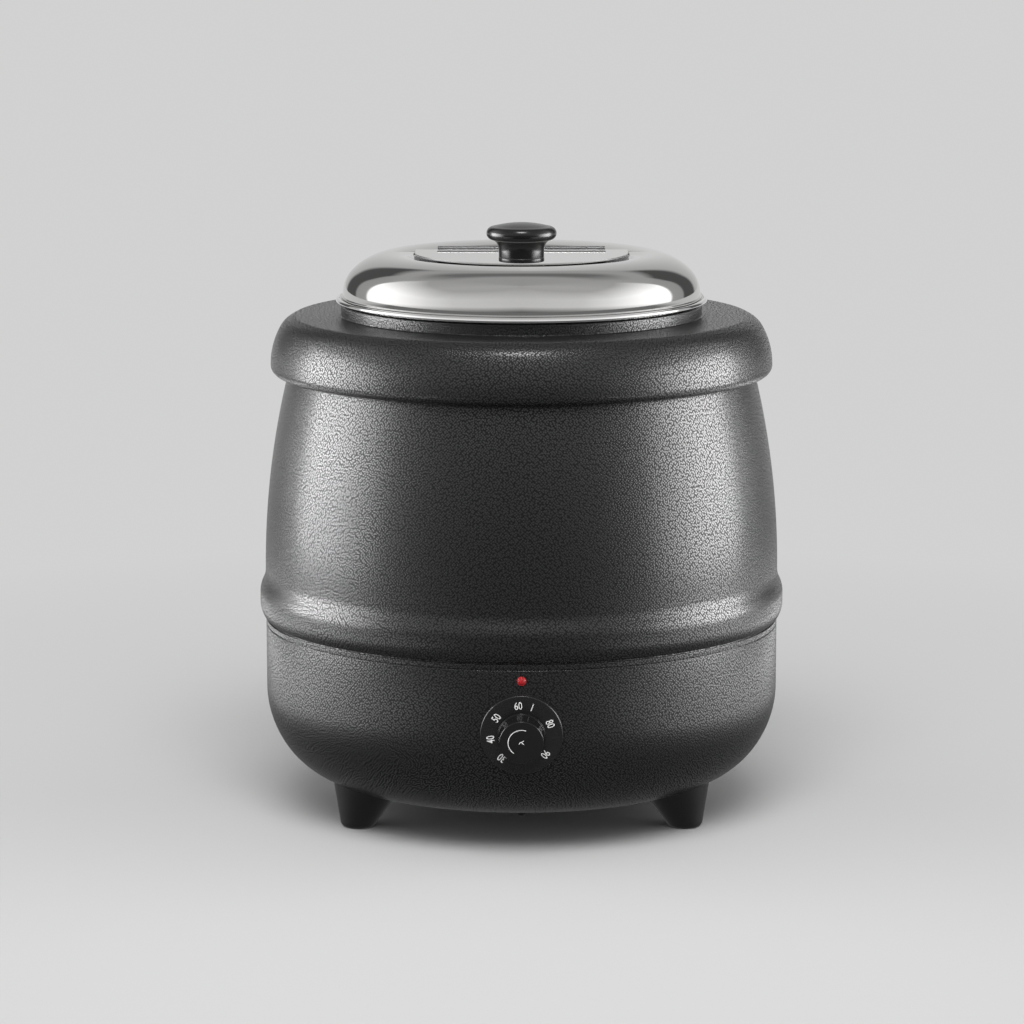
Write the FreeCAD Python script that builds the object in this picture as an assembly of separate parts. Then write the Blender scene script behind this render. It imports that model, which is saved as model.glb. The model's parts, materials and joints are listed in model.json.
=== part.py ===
import FreeCAD
import Part
import math
import os

# Soup kettle: a wet-well warmer with a lift-out pot and a lid with a hinged flap.
# Millimetres and degrees, +Z up, the front faces -Y, origin on the floor under the middle.

# Fits between pieces
REST_GAP = 0.3
SEAT_GAP = 0.1
FASTENER_CLEARANCE = 0.15
RUNNING_CLEARANCE = 0.05
BUILT_IN_CLEARANCE = 0.02

# Base pan
SHEET = 1.0
PAN_FLOOR_Z = 23.5
PAN_RADIUS = 166.0
PAN_HEIGHT = 105.0
PAN_CORNER_RUN = 56.0
PAN_CORNER_RISE = 60.0
PAN_WALL_TURN = 35.0
PAN_LIP_HEIGHT = 10.0
PAN_LIP_CLEARANCE = 0.4
PAN_LINE_DROP = 3.5
PAN_LINE_WIDTH = 0.9
PAN_LINE_DEPTH = 0.5
SERVICE_HOLE_SETBACK = 12.0
PAN_CUTTER_REACH = 12.0

# Barrel shell
SEAM_GAP = 1.0
RIB_PROUD = 3.7
RIB_EDGE_RUN = 4.2
RIB_EDGE_RISE = 9.4
RIB_EDGE_TURN = 35.0
RIB_FACE = 6.0
RIB_BLEND = 15.0
BARREL_STEP = 0.1
BARREL_SWEEP = 525.0
BARREL_RISE = 195.2
BARREL_FLANGE_SHARE = 0.43

# Collar ring
COLLAR_SETBACK = 4.5
COLLAR_CROWN_RUN = 19.5
COLLAR_CROWN_DROP = 31.5
COLLAR_WALL_TURN = 30.0
COLLAR_LIP_BEND = 5.0
COLLAR_LIP_CLEARANCE = 0.6
NECK_RADIUS = 116.0
NECK_HEIGHT = 8.0
NECK_BEND = 0.8
NECK_SEAT = 3.4

# Water well
WELL_WALL = 1.0
WELL_CLEARANCE = 0.4
WELL_FLANGE_SETBACK = 2.2
WELL_CORNER = 12.0
UNDER_WELL = 62.0

# Inner pot
POT_WALL = 0.8
POT_CORNER = 10.0
POT_BEAD_RADIUS = 1.5
WATER_GAP = 4.6
WATER_DEPTH = 12.0

# Lid
LID_WALL = 0.8
LID_SETBACK = 1.0
LID_CLEARANCE = 0.5
LID_RIM_OVERHANG = 3.4
LID_BEAD_RADIUS = 1.3
LID_BAND_HEIGHT = 2.4
LID_BAND_STEP = 0.9
LID_HEIGHT = 30.2
LID_CROWN_RUN = 32.3
LID_CROWN_RISE = 25.8
LID_WALL_TURN = 45.0

# Lid flap and its hinge
FLAP_WALL = 1.0
FLAP_RADIUS = 68.2
FLAP_FORWARD = 9.3
FLAP_EDGE_ROUND = 0.4
HATCH_LAP = 6.0
HATCH_REAR_MARGIN = 5.0
HINGE_Y = 9.0
KNUCKLE_COUNT = 9
KNUCKLE_LENGTH = 12.0
KNUCKLE_GAP = 0.4
KNUCKLE_RADIUS = 1.6
KNUCKLE_CLEARANCE = 0.4
PIN_RADIUS = 0.8
LEAF_WALL = 0.6
FIXED_LEAF_DEPTH = 12.0
MOVING_LEAF_DEPTH = 16.0
RIVET_RADIUS = 1.4
RIVET_HEAD_RADIUS = 2.2
RIVET_HEAD_HEIGHT = 0.5
RIVET_TAIL_HEIGHT = 0.9
RIVET_COUNT = 4
RIVET_SPACING = 31.0
RIVET_EDGE = 4.4

# Lid knob
KNOB_RADIUS = 22.0
KNOB_STEM_RADIUS = 14.2
KNOB_STEM_HEIGHT = 4.4
KNOB_FLARE_RISE = 6.5
KNOB_RIM_BEND = 4.2
KNOB_CROWN = 2.4
KNOB_EDGE_MARGIN = 1.0
KNOB_RING_HEIGHT = 2.6
KNOB_RING_LIP = 0.5
KNOB_SCREW_RADIUS = 2.5
KNOB_SCREW_GRIP = 11.0
KNOB_SCREW_HEAD_RADIUS = 4.8
KNOB_SCREW_HEAD_HEIGHT = 2.8

# Dial
DIAL_Z = 85.1
DIAL_TILT = 7.0
DIAL_PLATE_RADIUS = 25.5
DIAL_PLATE_FRONT = 1.6
DIAL_PLATE_ROUND = 0.8
DIAL_GAP = 0.5
DIAL_BASE_RADIUS = 15.0
DIAL_FACE_RADIUS = 13.6
DIAL_HEIGHT = 13.1
DIAL_FACE_ROUND = 0.8
DIAL_HOLLOW_RADIUS = 10.5
DIAL_HOLLOW_DEPTH = 5.0
DIAL_SHAFT_GRIP = 6.0

# Thermostat
SHAFT_RADIUS = 3.0
SHAFT_FLAT = 1.0
SHAFT_DEPTH = 14.0
BUSH_RADIUS = 5.0
BUSH_BOSS_RADIUS = 8.0
THERMOSTAT_NUT_FLATS = 14.0
THERMOSTAT_NUT_HEIGHT = 3.0
THERMOSTAT_WIDTH = 44.0
THERMOSTAT_HEIGHT = 32.0
THERMOSTAT_DEPTH = 28.0
THERMOSTAT_STANDOFF = 5.0
TAB_WIDTH = 6.3
TAB_WALL = 0.8
TAB_LENGTH = 8.0
TAB_SPREAD = 10.0
BULB_RADIUS = 3.0
BULB_LENGTH = 64.0
BULB_RISE = 16.0
BULB_ANGLE = 225.0
CLIP_WALL = 0.8
CLIP_HEIGHT = 8.0
CLIP_SPREAD = 40.0
CAPILLARY_RADIUS = 0.9
CAPILLARY_APPROACH = 16.0
CAPILLARY_LEAD_IN = 3.0

# Pilot lamp
LAMP_DROP = 9.9
LENS_RADIUS = 2.5
LENS_FLANGE_RADIUS = 2.9
LENS_FLANGE_HEIGHT = 0.8
LENS_DOME_HEIGHT = 1.5
LENS_TUBE_LENGTH = 9.0
LAMP_HOLDER_RADIUS = 4.4
LAMP_HOLDER_LENGTH = 15.0
PUSH_NUT_RADIUS = 6.5
PUSH_NUT_WALL = 0.6

# Heating element, under the well
ELEMENT_RADIUS = 62.0
ELEMENT_TUBE_RADIUS = 4.0
ELEMENT_FLAT = 0.6
ELEMENT_ANGLE = 45.0
ELEMENT_HALF_GAP = 14.0
ELEMENT_BEND = 8.0
ELEMENT_LEG = 36.0
TERMINAL_PIN_RADIUS = 2.0
TERMINAL_PIN_LENGTH = 8.0
INSULATOR_WALL = 2.0
INSULATOR_LENGTH = 10.0
CLAMP_RADIUS = 72.0
CLAMP_WALL = 1.2
CLAMP_NOTCH_RADIUS = 20.0
CLAMP_STUDS = 3
CLAMP_STUD_RADIUS = 2.0
CLAMP_STUD_CIRCLE = 44.0
CLAMP_STUD_START = 105.0
M4_NUT_FLATS = 7.0
M4_NUT_HEIGHT = 3.2
SHIELD_RADIUS = 86.0
SHIELD_WALL = 0.8
SHIELD_DROP = 26.0
SHIELD_HOLE_RADIUS = 25.0
SPACER_WALL = 1.6

# Boil-dry cut-out, in the middle of the clamp plate
CUTOUT_RADIUS = 9.0
CUTOUT_BOSS_RADIUS = 6.0
CUTOUT_BOSS_DROP = 6.0
CUTOUT_TAB_SPREAD = 3.0

# Tie rods
TIE_COUNT = 4
TIE_CIRCLE = 95.0
TIE_RADIUS = 2.5
TIE_TAIL = 6.5
TIE_NUT_FLATS = 8.0
TIE_NUT_HEIGHT = 4.0
TIE_WASHER_RADIUS = 5.0
TIE_WASHER_WALL = 1.0

# Bottom plate
PLATE_LAP = 6.5
PLATE_WALL = 1.0
PLATE_SCREWS = 6
PLATE_SCREW_RADIUS = 1.5
PLATE_SCREW_HEAD_RADIUS = 2.7
PLATE_SCREW_HEAD_HEIGHT = 1.8
PLATE_SCREW_LENGTH = 6.0
VENT_RINGS = 3
VENT_FIRST_CIRCLE = 24.0
VENT_RING_STEP = 17.0
VENT_COUNT = 12
VENT_WIDTH = 3.4
VENT_LENGTH = 10.0

# Terminal block and earth stud, on the pan floor
BLOCK_ANGLE = 45.0
BLOCK_CIRCLE = 99.0
BLOCK_LENGTH = 30.0
BLOCK_DEPTH = 16.0
BLOCK_HEIGHT = 14.0
BLOCK_POLE_PITCH = 9.0
BLOCK_PORT_RADIUS = 2.0
BLOCK_PORT_HEIGHT = 6.5
BLOCK_PORT_DEPTH = 3.0
EARTH_ANGLE = 135.0
EARTH_HEIGHT = 14.0
EARTH_FOOT_RADIUS = 5.0
EARTH_FOOT_HEIGHT = 2.0

# Cable gland, at the rear
GLAND_Z = 75.2
GLAND_FLANGE_RADIUS = 11.0
GLAND_FLANGE_HEIGHT = 5.0
GLAND_NOSE_LENGTH = 13.0
GLAND_NOSE_RADIUS = 8.5
GLAND_TIP_RADIUS = 6.6
GLAND_THREAD_RADIUS = 7.9
GLAND_THREAD_LENGTH = 14.0
GLAND_BORE_RADIUS = 3.9
GLAND_NUT_FLATS = 21.0
GLAND_NUT_HEIGHT = 7.0

# Feet
FOOT_ANGLES = {"front_left": 208.5, "front_right": 331.5, "rear_right": 28.5, "rear_left": 151.5}
FOOT_SOLE_RADIUS = 10.4
FOOT_SOLE_SETBACK = 46.0
FOOT_SOLE_ROUND = 4.0
FOOT_HEAD_RADIUS = 24.0
FOOT_LEAN = 9.7
FOOT_BLANK_MARGIN = 6.5
FOOT_PLATE_GAP = 1.0
FOOT_SCREW_RADIUS = 2.0
FOOT_SCREW_HEAD_RADIUS = 3.6
FOOT_SCREW_HEAD_HEIGHT = 3.0
FOOT_SCREW_RECESS = 7.0
FOOT_SCREW_TAIL = 9.0
FOOT_NUT_FLATS = 7.0

# Inner leads
LEAD_RADIUS = 1.3
LEAD_END_GAP = 0.2
LEAD_FLOOR_HEIGHT = 8.0
LEAD_SAG = 14.0
LEAD_STEPS = 5
RUN_SHARE = 0.45

# Heights of the stack
PAN_FLOOR_TOP = PAN_FLOOR_Z + SHEET
PAN_TOP_Z = PAN_FLOOR_Z + PAN_HEIGHT
SEAM_Z = PAN_TOP_Z + SEAM_GAP
SHOULDER_Z = SEAM_Z + BARREL_RISE
NECK_TOP_Z = SHOULDER_Z + NECK_HEIGHT
WELL_FLOOR_Z = PAN_FLOOR_TOP + UNDER_WELL
WELL_RIM_Z = NECK_TOP_Z + WELL_WALL
POT_FLOOR_Z = WELL_FLOOR_Z + WELL_WALL + WATER_DEPTH
LID_BASE_Z = WELL_RIM_Z + REST_GAP
LID_TOP_Z = LID_BASE_Z + LID_HEIGHT
FLAP_Z = LID_TOP_Z + REST_GAP
FLAP_TOP_Z = FLAP_Z + FLAP_WALL
HINGE_Z = LID_TOP_Z + REST_GAP + KNUCKLE_RADIUS
FOOT_BLANK_HEIGHT = PAN_FLOOR_Z + FOOT_BLANK_MARGIN

# Radii that follow from the fits
RIB_RADIUS = PAN_RADIUS + RIB_PROUD
BARREL_RADIUS = PAN_RADIUS + BARREL_STEP
COLLAR_RADIUS = BARREL_RADIUS - COLLAR_SETBACK
PAN_LIP_RADIUS = RIB_RADIUS - RIB_EDGE_RUN - PAN_LIP_CLEARANCE
SERVICE_HOLE_RADIUS = TIE_CIRCLE - TIE_WASHER_RADIUS - SERVICE_HOLE_SETBACK
FOOT_SOLE_CIRCLE = PAN_RADIUS - FOOT_SOLE_SETBACK
FOOT_HEAD_CIRCLE = FOOT_SOLE_CIRCLE - FOOT_LEAN
SEAT_RADIUS = NECK_RADIUS - NECK_SEAT
WELL_RADIUS = SEAT_RADIUS - WELL_CLEARANCE
WELL_FLANGE_RADIUS = NECK_RADIUS - WELL_FLANGE_SETBACK
POT_RADIUS = WELL_RADIUS - WELL_WALL - WATER_GAP
LID_RADIUS = NECK_RADIUS - LID_SETBACK
LID_BAND_RADIUS = LID_RADIUS + LID_BAND_STEP
LID_RIM_RADIUS = NECK_RADIUS + LID_RIM_OVERHANG
POT_BEAD_CIRCLE = LID_RADIUS - LID_WALL - LID_CLEARANCE - POT_BEAD_RADIUS
PLATE_RADIUS = SERVICE_HOLE_RADIUS + PLATE_LAP

# Places that several pieces share
KNOB_Y = KNOB_STEM_RADIUS + KNOB_EDGE_MARGIN - FLAP_RADIUS - FLAP_FORWARD
HINGE_LENGTH = KNUCKLE_COUNT * KNUCKLE_LENGTH
LAMP_Z = PAN_TOP_Z - LAMP_DROP
ELEMENT_Z = WELL_FLOOR_Z - ELEMENT_TUBE_RADIUS + ELEMENT_FLAT
ELEMENT_LEG_Z = WELL_FLOOR_Z - ELEMENT_LEG
CLAMP_TOP_Z = ELEMENT_Z - ELEMENT_TUBE_RADIUS - SEAT_GAP
CLAMP_NUT_Z = CLAMP_TOP_Z - CLAMP_WALL - M4_NUT_HEIGHT
SHIELD_TOP_Z = WELL_FLOOR_Z - SHIELD_DROP
SHIELD_NUT_Z = SHIELD_TOP_Z - SHIELD_WALL - M4_NUT_HEIGHT
BULB_CIRCLE = WELL_RADIUS + CLIP_WALL + BULB_RADIUS + BUILT_IN_CLEARANCE
BULB_Z = WELL_FLOOR_Z + BULB_RISE
THERMOSTAT_BACK = THERMOSTAT_STANDOFF + THERMOSTAT_DEPTH
DIAL_BACK = DIAL_PLATE_FRONT + DIAL_GAP
DIAL_FACE = DIAL_BACK + DIAL_HEIGHT
BLOCK_PORT_Z = PAN_FLOOR_TOP + BLOCK_PORT_HEIGHT
LEAD_Z = PAN_FLOOR_TOP + LEAD_FLOOR_HEIGHT

ORIGIN = FreeCAD.Vector(0, 0, 0)
X_AXIS = FreeCAD.Vector(1, 0, 0)
UP = FreeCAD.Vector(0, 0, 1)
QUARTER = 90.0
FULL_TURN = 360.0
HEX_SIDES = 6


# Drawing helpers

class Profile:
    """An open outline in the plane of radius and height, drawn edge by edge."""

    def __init__(self, radius, height):
        self.start = FreeCAD.Vector(radius, 0, height)
        self.end = self.start
        self.edges = []

    def line(self, radius, height):
        """Draw a straight edge to a point."""
        target = FreeCAD.Vector(radius, 0, height)
        self.edges.append(Part.LineSegment(self.end, target).toShape())
        self.end = target
        return self

    def arc(self, centre_radius, centre_height, radius, height):
        """Draw the shorter arc about a centre to a point."""
        centre = FreeCAD.Vector(centre_radius, 0, centre_height)
        target = FreeCAD.Vector(radius, 0, height)
        reach = (self.end - centre).Length
        middle = (self.end - centre) + (target - centre)
        middle = centre + middle.normalize() * reach
        self.edges.append(Part.Arc(self.end, middle, target).toShape())
        self.end = target
        return self

    def closed_edges(self):
        """The outline with the edge that closes it."""
        return self.edges + [Part.LineSegment(self.end, self.start).toShape()]


class Corner:
    """Two tangent arcs between an upright wall and a level face, above it or below it."""

    def __init__(self, wall, level, run, rise, wall_turn, side):
        cosine = math.cos(math.radians(wall_turn))
        sine = math.sin(math.radians(wall_turn))
        excess = 1.0 - cosine - sine
        self.side = side
        self.sine = sine
        self.cosine = cosine
        self.wall = wall
        self.level = level
        self.wall_bend = (run * (1.0 - sine) - rise * cosine) / excess
        self.level_bend = (rise * (1.0 - cosine) - run * sine) / excess
        self.wall_centre = (wall - self.wall_bend, level - side * rise)
        self.level_centre = (wall - run, level - side * self.level_bend)

    def wall_point(self, inset):
        """Where the wall ends."""
        return (self.wall - inset, self.wall_centre[1])

    def joint(self, inset):
        """Where the two arcs meet."""
        bend = self.wall_bend - inset
        radius = self.wall_centre[0] + bend * self.cosine
        return (radius, self.wall_centre[1] + self.side * bend * self.sine)

    def level_point(self, inset):
        """Where the level face begins."""
        return (self.level_centre[0], self.level - self.side * inset)

    def draw_to_level(self, profile, inset):
        """Draw from the end of the wall to the level face."""
        profile.arc(*self.wall_centre, *self.joint(inset))
        return profile.arc(*self.level_centre, *self.level_point(inset))

    def draw_to_wall(self, profile, inset):
        """Draw from the level face to the end of the wall."""
        profile.arc(*self.level_centre, *self.joint(inset))
        return profile.arc(*self.wall_centre, *self.wall_point(inset))


def revolved(edges):
    """A solid from closed edges in the plane of radius and height."""
    wire = Part.Wire(Part.__sortEdges__(edges))
    return Part.Face(wire).revolve(ORIGIN, UP, FULL_TURN)


def sheet(outline, wall):
    """A bent sheet of revolution between an outline and its inset copy."""
    outer = outline(0.0)
    inner = outline(wall)
    start = Part.LineSegment(outer.start, inner.start).toShape()
    end = Part.LineSegment(outer.end, inner.end).toShape()
    return revolved(outer.edges + inner.edges + [start, end])


def polar(radius, angle, z):
    """A point at a radius and an angle round the vertical axis."""
    turn = math.radians(angle)
    return FreeCAD.Vector(radius * math.cos(turn), radius * math.sin(turn), z)


def rod(radius, bottom, top, x=0.0, y=0.0):
    """An upright cylinder between two heights."""
    return Part.makeCylinder(radius, top - bottom, FreeCAD.Vector(x, y, bottom), UP)


def rod_at(radius, bottom, top, place):
    """An upright cylinder between two heights, at the plan position of a point."""
    return rod(radius, bottom, top, place.x, place.y)


def tube(inner, outer, bottom, top, x=0.0, y=0.0):
    """An upright hollow cylinder."""
    return rod(outer, bottom, top, x, y).cut(rod(inner, bottom, top, x, y))


def tube_at(inner, outer, bottom, top, place):
    """An upright hollow cylinder at the plan position of a point."""
    return tube(inner, outer, bottom, top, place.x, place.y)


def block(width, depth, bottom, top, x=0.0, y=0.0):
    """A box centred in plan on a point, between two heights."""
    corner = FreeCAD.Vector(x - width / 2, y - depth / 2, bottom)
    return Part.makeBox(width, depth, top - bottom, corner)


def hexagon(flats, bottom, top, x=0.0, y=0.0):
    """An upright hexagonal prism."""
    reach = flats / 2 / math.cos(math.pi / HEX_SIDES)
    corners = [place + FreeCAD.Vector(x, y, bottom) for place in ring_places(HEX_SIDES, reach, 0.0)]
    corners.append(corners[0])
    return Part.Face(Part.makePolygon(corners)).extrude(UP * (top - bottom))


def nut(flats, bore, bottom, top, place):
    """A hexagonal nut at the plan position of a point."""
    return hexagon(flats, bottom, top, place.x, place.y).cut(rod_at(bore, bottom, top, place))


def turned(shape, angle):
    """A copy of a shape turned round the vertical axis."""
    copy = shape.copy()
    copy.rotate(ORIGIN, UP, angle)
    return copy


def ring_places(count, circle, start):
    """Evenly spaced points on a circle, on the floor."""
    return [polar(circle, start + FULL_TURN * step / count, 0) for step in range(count)]


def union(shapes):
    """One solid from overlapping shapes."""
    return shapes[0].fuse(shapes[1:]).removeSplitter()


def bent_tube(points, radius):
    """A round tube along straight runs joined by tangent arcs as large as the runs allow."""
    path = []
    start = points[0]
    for before, corner, after in zip(points, points[1:], points[2:]):
        back = before - corner
        ahead = after - corner
        reach = RUN_SHARE * min(back.Length, ahead.Length)
        back.normalize()
        ahead.normalize()
        half_turn = (math.pi - back.getAngle(ahead)) / 2
        bend = reach / math.tan(half_turn)
        enter = corner + back * reach
        leave = corner + ahead * reach
        inward = (back + ahead).normalize()
        middle = corner + inward * (bend / math.cos(half_turn) - bend)
        path.append(Part.LineSegment(start, enter).toShape())
        path.append(Part.Arc(enter, middle, leave).toShape())
        start = leave
    path.append(Part.LineSegment(start, points[-1]).toShape())
    section = Part.makeCircle(radius, points[0], points[1] - points[0])
    return Part.Wire(path).makePipeShell([Part.Wire(section)], True, False)


# Frames of the tilted dial, the lamp and the gland: local +Z points out of the pan

def placed(shape, frame):
    """A copy of a shape moved from a local frame to the kettle."""
    copy = shape.copy()
    copy.Placement = frame.multiply(copy.Placement)
    return copy


DIAL_FRAME = FreeCAD.Placement(
    FreeCAD.Vector(0, -PAN_RADIUS, DIAL_Z), FreeCAD.Rotation(X_AXIS, QUARTER + DIAL_TILT))
LAMP_FRAME = FreeCAD.Placement(
    FreeCAD.Vector(0, -PAN_RADIUS, LAMP_Z), FreeCAD.Rotation(X_AXIS, QUARTER))
GLAND_FRAME = FreeCAD.Placement(
    FreeCAD.Vector(0, PAN_RADIUS, GLAND_Z), FreeCAD.Rotation(X_AXIS, -QUARTER))


# Body shells

PAN_CORNER = Corner(PAN_RADIUS, PAN_FLOOR_Z, PAN_CORNER_RUN, PAN_CORNER_RISE, PAN_WALL_TURN, -1)


def pan_region(inset):
    """Everything inside the pan's outer face, or inside a face inset from it."""
    profile = Profile(0, PAN_FLOOR_Z + inset)
    profile.line(*PAN_CORNER.level_point(inset))
    PAN_CORNER.draw_to_wall(profile, inset)
    profile.line(PAN_RADIUS - inset, PAN_TOP_Z)
    profile.line(0, PAN_TOP_Z)
    return revolved(profile.closed_edges())


PAN_OUTSIDE = pan_region(0.0)
PAN_INSIDE = pan_region(SHEET)


def pan_outline(inset):
    """The pan from its service hole, round the corner and up to the lip inside the barrel."""
    profile = Profile(SERVICE_HOLE_RADIUS, PAN_FLOOR_Z + inset)
    profile.line(*PAN_CORNER.level_point(inset))
    PAN_CORNER.draw_to_wall(profile, inset)
    profile.line(PAN_RADIUS - inset, PAN_TOP_Z - inset)
    profile.line(PAN_LIP_RADIUS - inset, PAN_TOP_Z - inset)
    return profile.line(PAN_LIP_RADIUS - inset, PAN_TOP_Z + PAN_LIP_HEIGHT)


def base_pan():
    """The rounded pan with a fine line near its top and holes for all that is fixed to it."""
    line_z = PAN_TOP_Z - PAN_LINE_DROP
    line = Profile(PAN_RADIUS, line_z - PAN_LINE_WIDTH / 2)
    line.line(PAN_RADIUS - PAN_LINE_DEPTH, line_z)
    line.line(PAN_RADIUS, line_z + PAN_LINE_WIDTH / 2)
    holes = [revolved(line.closed_edges())]
    reach = (-PAN_CUTTER_REACH, PAN_CUTTER_REACH)
    holes.append(placed(rod(BUSH_RADIUS + FASTENER_CLEARANCE, *reach), DIAL_FRAME))
    holes.append(placed(rod(LENS_RADIUS + FASTENER_CLEARANCE, *reach), LAMP_FRAME))
    holes.append(placed(rod(GLAND_THREAD_RADIUS + FASTENER_CLEARANCE, *reach), GLAND_FRAME))
    floor = (PAN_FLOOR_Z - SHEET, PAN_FLOOR_TOP + SHEET)
    for place in tie_places():
        holes.append(rod_at(TIE_RADIUS + FASTENER_CLEARANCE, *floor, place))
    for place in plate_screw_places():
        holes.append(rod_at(PLATE_SCREW_RADIUS + BUILT_IN_CLEARANCE, *floor, place))
    for place in block_screw_places():
        holes.append(rod_at(PLATE_SCREW_RADIUS + BUILT_IN_CLEARANCE, *floor, place))
    for angle in FOOT_ANGLES.values():
        place = polar(FOOT_SOLE_CIRCLE, angle, 0)
        holes.append(rod_at(FOOT_SCREW_RADIUS + FASTENER_CLEARANCE, 0, FOOT_SCREW_TOP, place))
    return sheet(pan_outline, SHEET).cut(holes)


RIB_EDGE = Corner(RIB_RADIUS, SEAM_Z, RIB_EDGE_RUN, RIB_EDGE_RISE, RIB_EDGE_TURN, -1)
BARREL_FOOT_Z = SEAM_Z + RIB_EDGE_RISE + RIB_FACE + RIB_BLEND


def barrel_radius(z, inset):
    """Radius of the drum's swept side at a height."""
    reach = BARREL_SWEEP - inset
    return BARREL_RADIUS - BARREL_SWEEP + math.sqrt(reach ** 2 - (z - BARREL_FOOT_Z) ** 2)


def barrel_outline(inset):
    """The drum from its rounded lower edge, over the rib and up to the inward flange."""
    top = SHOULDER_Z - SHEET - SEAT_GAP - inset
    rise = RIB_RADIUS - BARREL_RADIUS
    blend_bend = (RIB_BLEND ** 2 + rise ** 2) / (4 * rise)
    face_top = BARREL_FOOT_Z - RIB_BLEND
    slope = math.asin(RIB_BLEND / 2 / blend_bend)
    joint_r = RIB_RADIUS - blend_bend + (blend_bend - inset) * math.cos(slope)
    joint_z = face_top + (blend_bend - inset) * math.sin(slope)
    profile = Profile(*RIB_EDGE.level_point(inset))
    RIB_EDGE.draw_to_wall(profile, inset)
    profile.line(RIB_RADIUS - inset, face_top)
    profile.arc(RIB_RADIUS - blend_bend, face_top, joint_r, joint_z)
    profile.arc(BARREL_RADIUS + blend_bend, BARREL_FOOT_Z, BARREL_RADIUS - inset, BARREL_FOOT_Z)
    profile.arc(BARREL_RADIUS - BARREL_SWEEP, BARREL_FOOT_Z, barrel_radius(top, inset), top)
    shoulder = barrel_radius(SHOULDER_Z - SHEET - SEAT_GAP, 0.0)
    flange = BARREL_FLANGE_SHARE * (shoulder - WELL_RADIUS)
    return profile.line(shoulder - flange, top)


def barrel_shell():
    """The drum."""
    return sheet(barrel_outline, SHEET)


COLLAR_CROWN = Corner(
    COLLAR_RADIUS, SHOULDER_Z, COLLAR_CROWN_RUN, COLLAR_CROWN_DROP, COLLAR_WALL_TURN, 1)


def collar_outline(inset):
    """The collar from the well's seat, down the neck, over the shoulder and under the lip."""
    outer_bend = NECK_BEND + SHEET
    lip_bend = COLLAR_LIP_BEND + SHEET
    lip_top = SHOULDER_Z - COLLAR_CROWN_DROP
    lip_edge = barrel_radius(lip_top - lip_bend, 0.0) + COLLAR_LIP_CLEARANCE
    profile = Profile(SEAT_RADIUS, NECK_TOP_Z - inset)
    profile.line(NECK_RADIUS - outer_bend, NECK_TOP_Z - inset)
    edge_z = NECK_TOP_Z - outer_bend
    profile.arc(NECK_RADIUS - outer_bend, edge_z, NECK_RADIUS - inset, edge_z)
    profile.line(NECK_RADIUS - inset, SHOULDER_Z + NECK_BEND)
    foot_r = NECK_RADIUS + NECK_BEND
    profile.arc(foot_r, SHOULDER_Z + NECK_BEND, foot_r, SHOULDER_Z - inset)
    profile.line(*COLLAR_CROWN.level_point(inset))
    COLLAR_CROWN.draw_to_wall(profile, inset)
    profile.arc(COLLAR_RADIUS - lip_bend, lip_top, COLLAR_RADIUS - lip_bend, lip_top - lip_bend + inset)
    return profile.line(lip_edge, lip_top - lip_bend + inset)


def collar_ring():
    """The top cover with the neck that carries the well."""
    return sheet(collar_outline, SHEET)


# Water well and pot

def well_outline(inset):
    """The well from its flange down and across the floor."""
    profile = Profile(WELL_FLANGE_RADIUS, NECK_TOP_Z + inset)
    profile.line(WELL_RADIUS - inset, NECK_TOP_Z + inset)
    profile.line(WELL_RADIUS - inset, WELL_FLOOR_Z + WELL_CORNER)
    corner_r = WELL_RADIUS - WELL_CORNER
    profile.arc(corner_r, WELL_FLOOR_Z + WELL_CORNER, corner_r, WELL_FLOOR_Z + inset)
    return profile.line(0, WELL_FLOOR_Z + inset)


def water_well():
    """The fixed vessel that holds the water."""
    return sheet(well_outline, WELL_WALL)


def pot_outline(inset):
    """The pot from its rim down and across the floor."""
    rim = WELL_RIM_Z + REST_GAP
    profile = Profile(POT_BEAD_CIRCLE, rim + inset)
    profile.line(POT_RADIUS - inset, rim + inset)
    profile.line(POT_RADIUS - inset, POT_FLOOR_Z + POT_CORNER)
    corner_r = POT_RADIUS - POT_CORNER
    profile.arc(corner_r, POT_FLOOR_Z + POT_CORNER, corner_r, POT_FLOOR_Z + inset)
    return profile.line(0, POT_FLOOR_Z + inset)


def inner_pot():
    """The lift-out pot with a rolled rim."""
    bead_z = WELL_RIM_Z + REST_GAP + POT_BEAD_RADIUS
    bead = Part.makeTorus(POT_BEAD_CIRCLE, POT_BEAD_RADIUS, FreeCAD.Vector(0, 0, bead_z))
    return union([sheet(pot_outline, POT_WALL), bead])


# Lid

LID_CROWN = Corner(LID_RADIUS, LID_TOP_Z, LID_CROWN_RUN, LID_CROWN_RISE, LID_WALL_TURN, 1)


def lid_outline(inset):
    """The lid from its flange, up the band and the wall and over to the middle."""
    flange_z = LID_BASE_Z + LID_WALL - inset
    band_top = LID_BASE_Z + LID_WALL + LID_BAND_HEIGHT
    profile = Profile(LID_RIM_RADIUS - LID_BEAD_RADIUS, flange_z)
    profile.line(LID_BAND_RADIUS - inset, flange_z)
    profile.line(LID_BAND_RADIUS - inset, band_top - inset)
    profile.line(LID_RADIUS - inset, band_top - inset)
    profile.line(*LID_CROWN.wall_point(inset))
    LID_CROWN.draw_to_level(profile, inset)
    return profile.line(0, LID_TOP_Z - inset)


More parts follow.
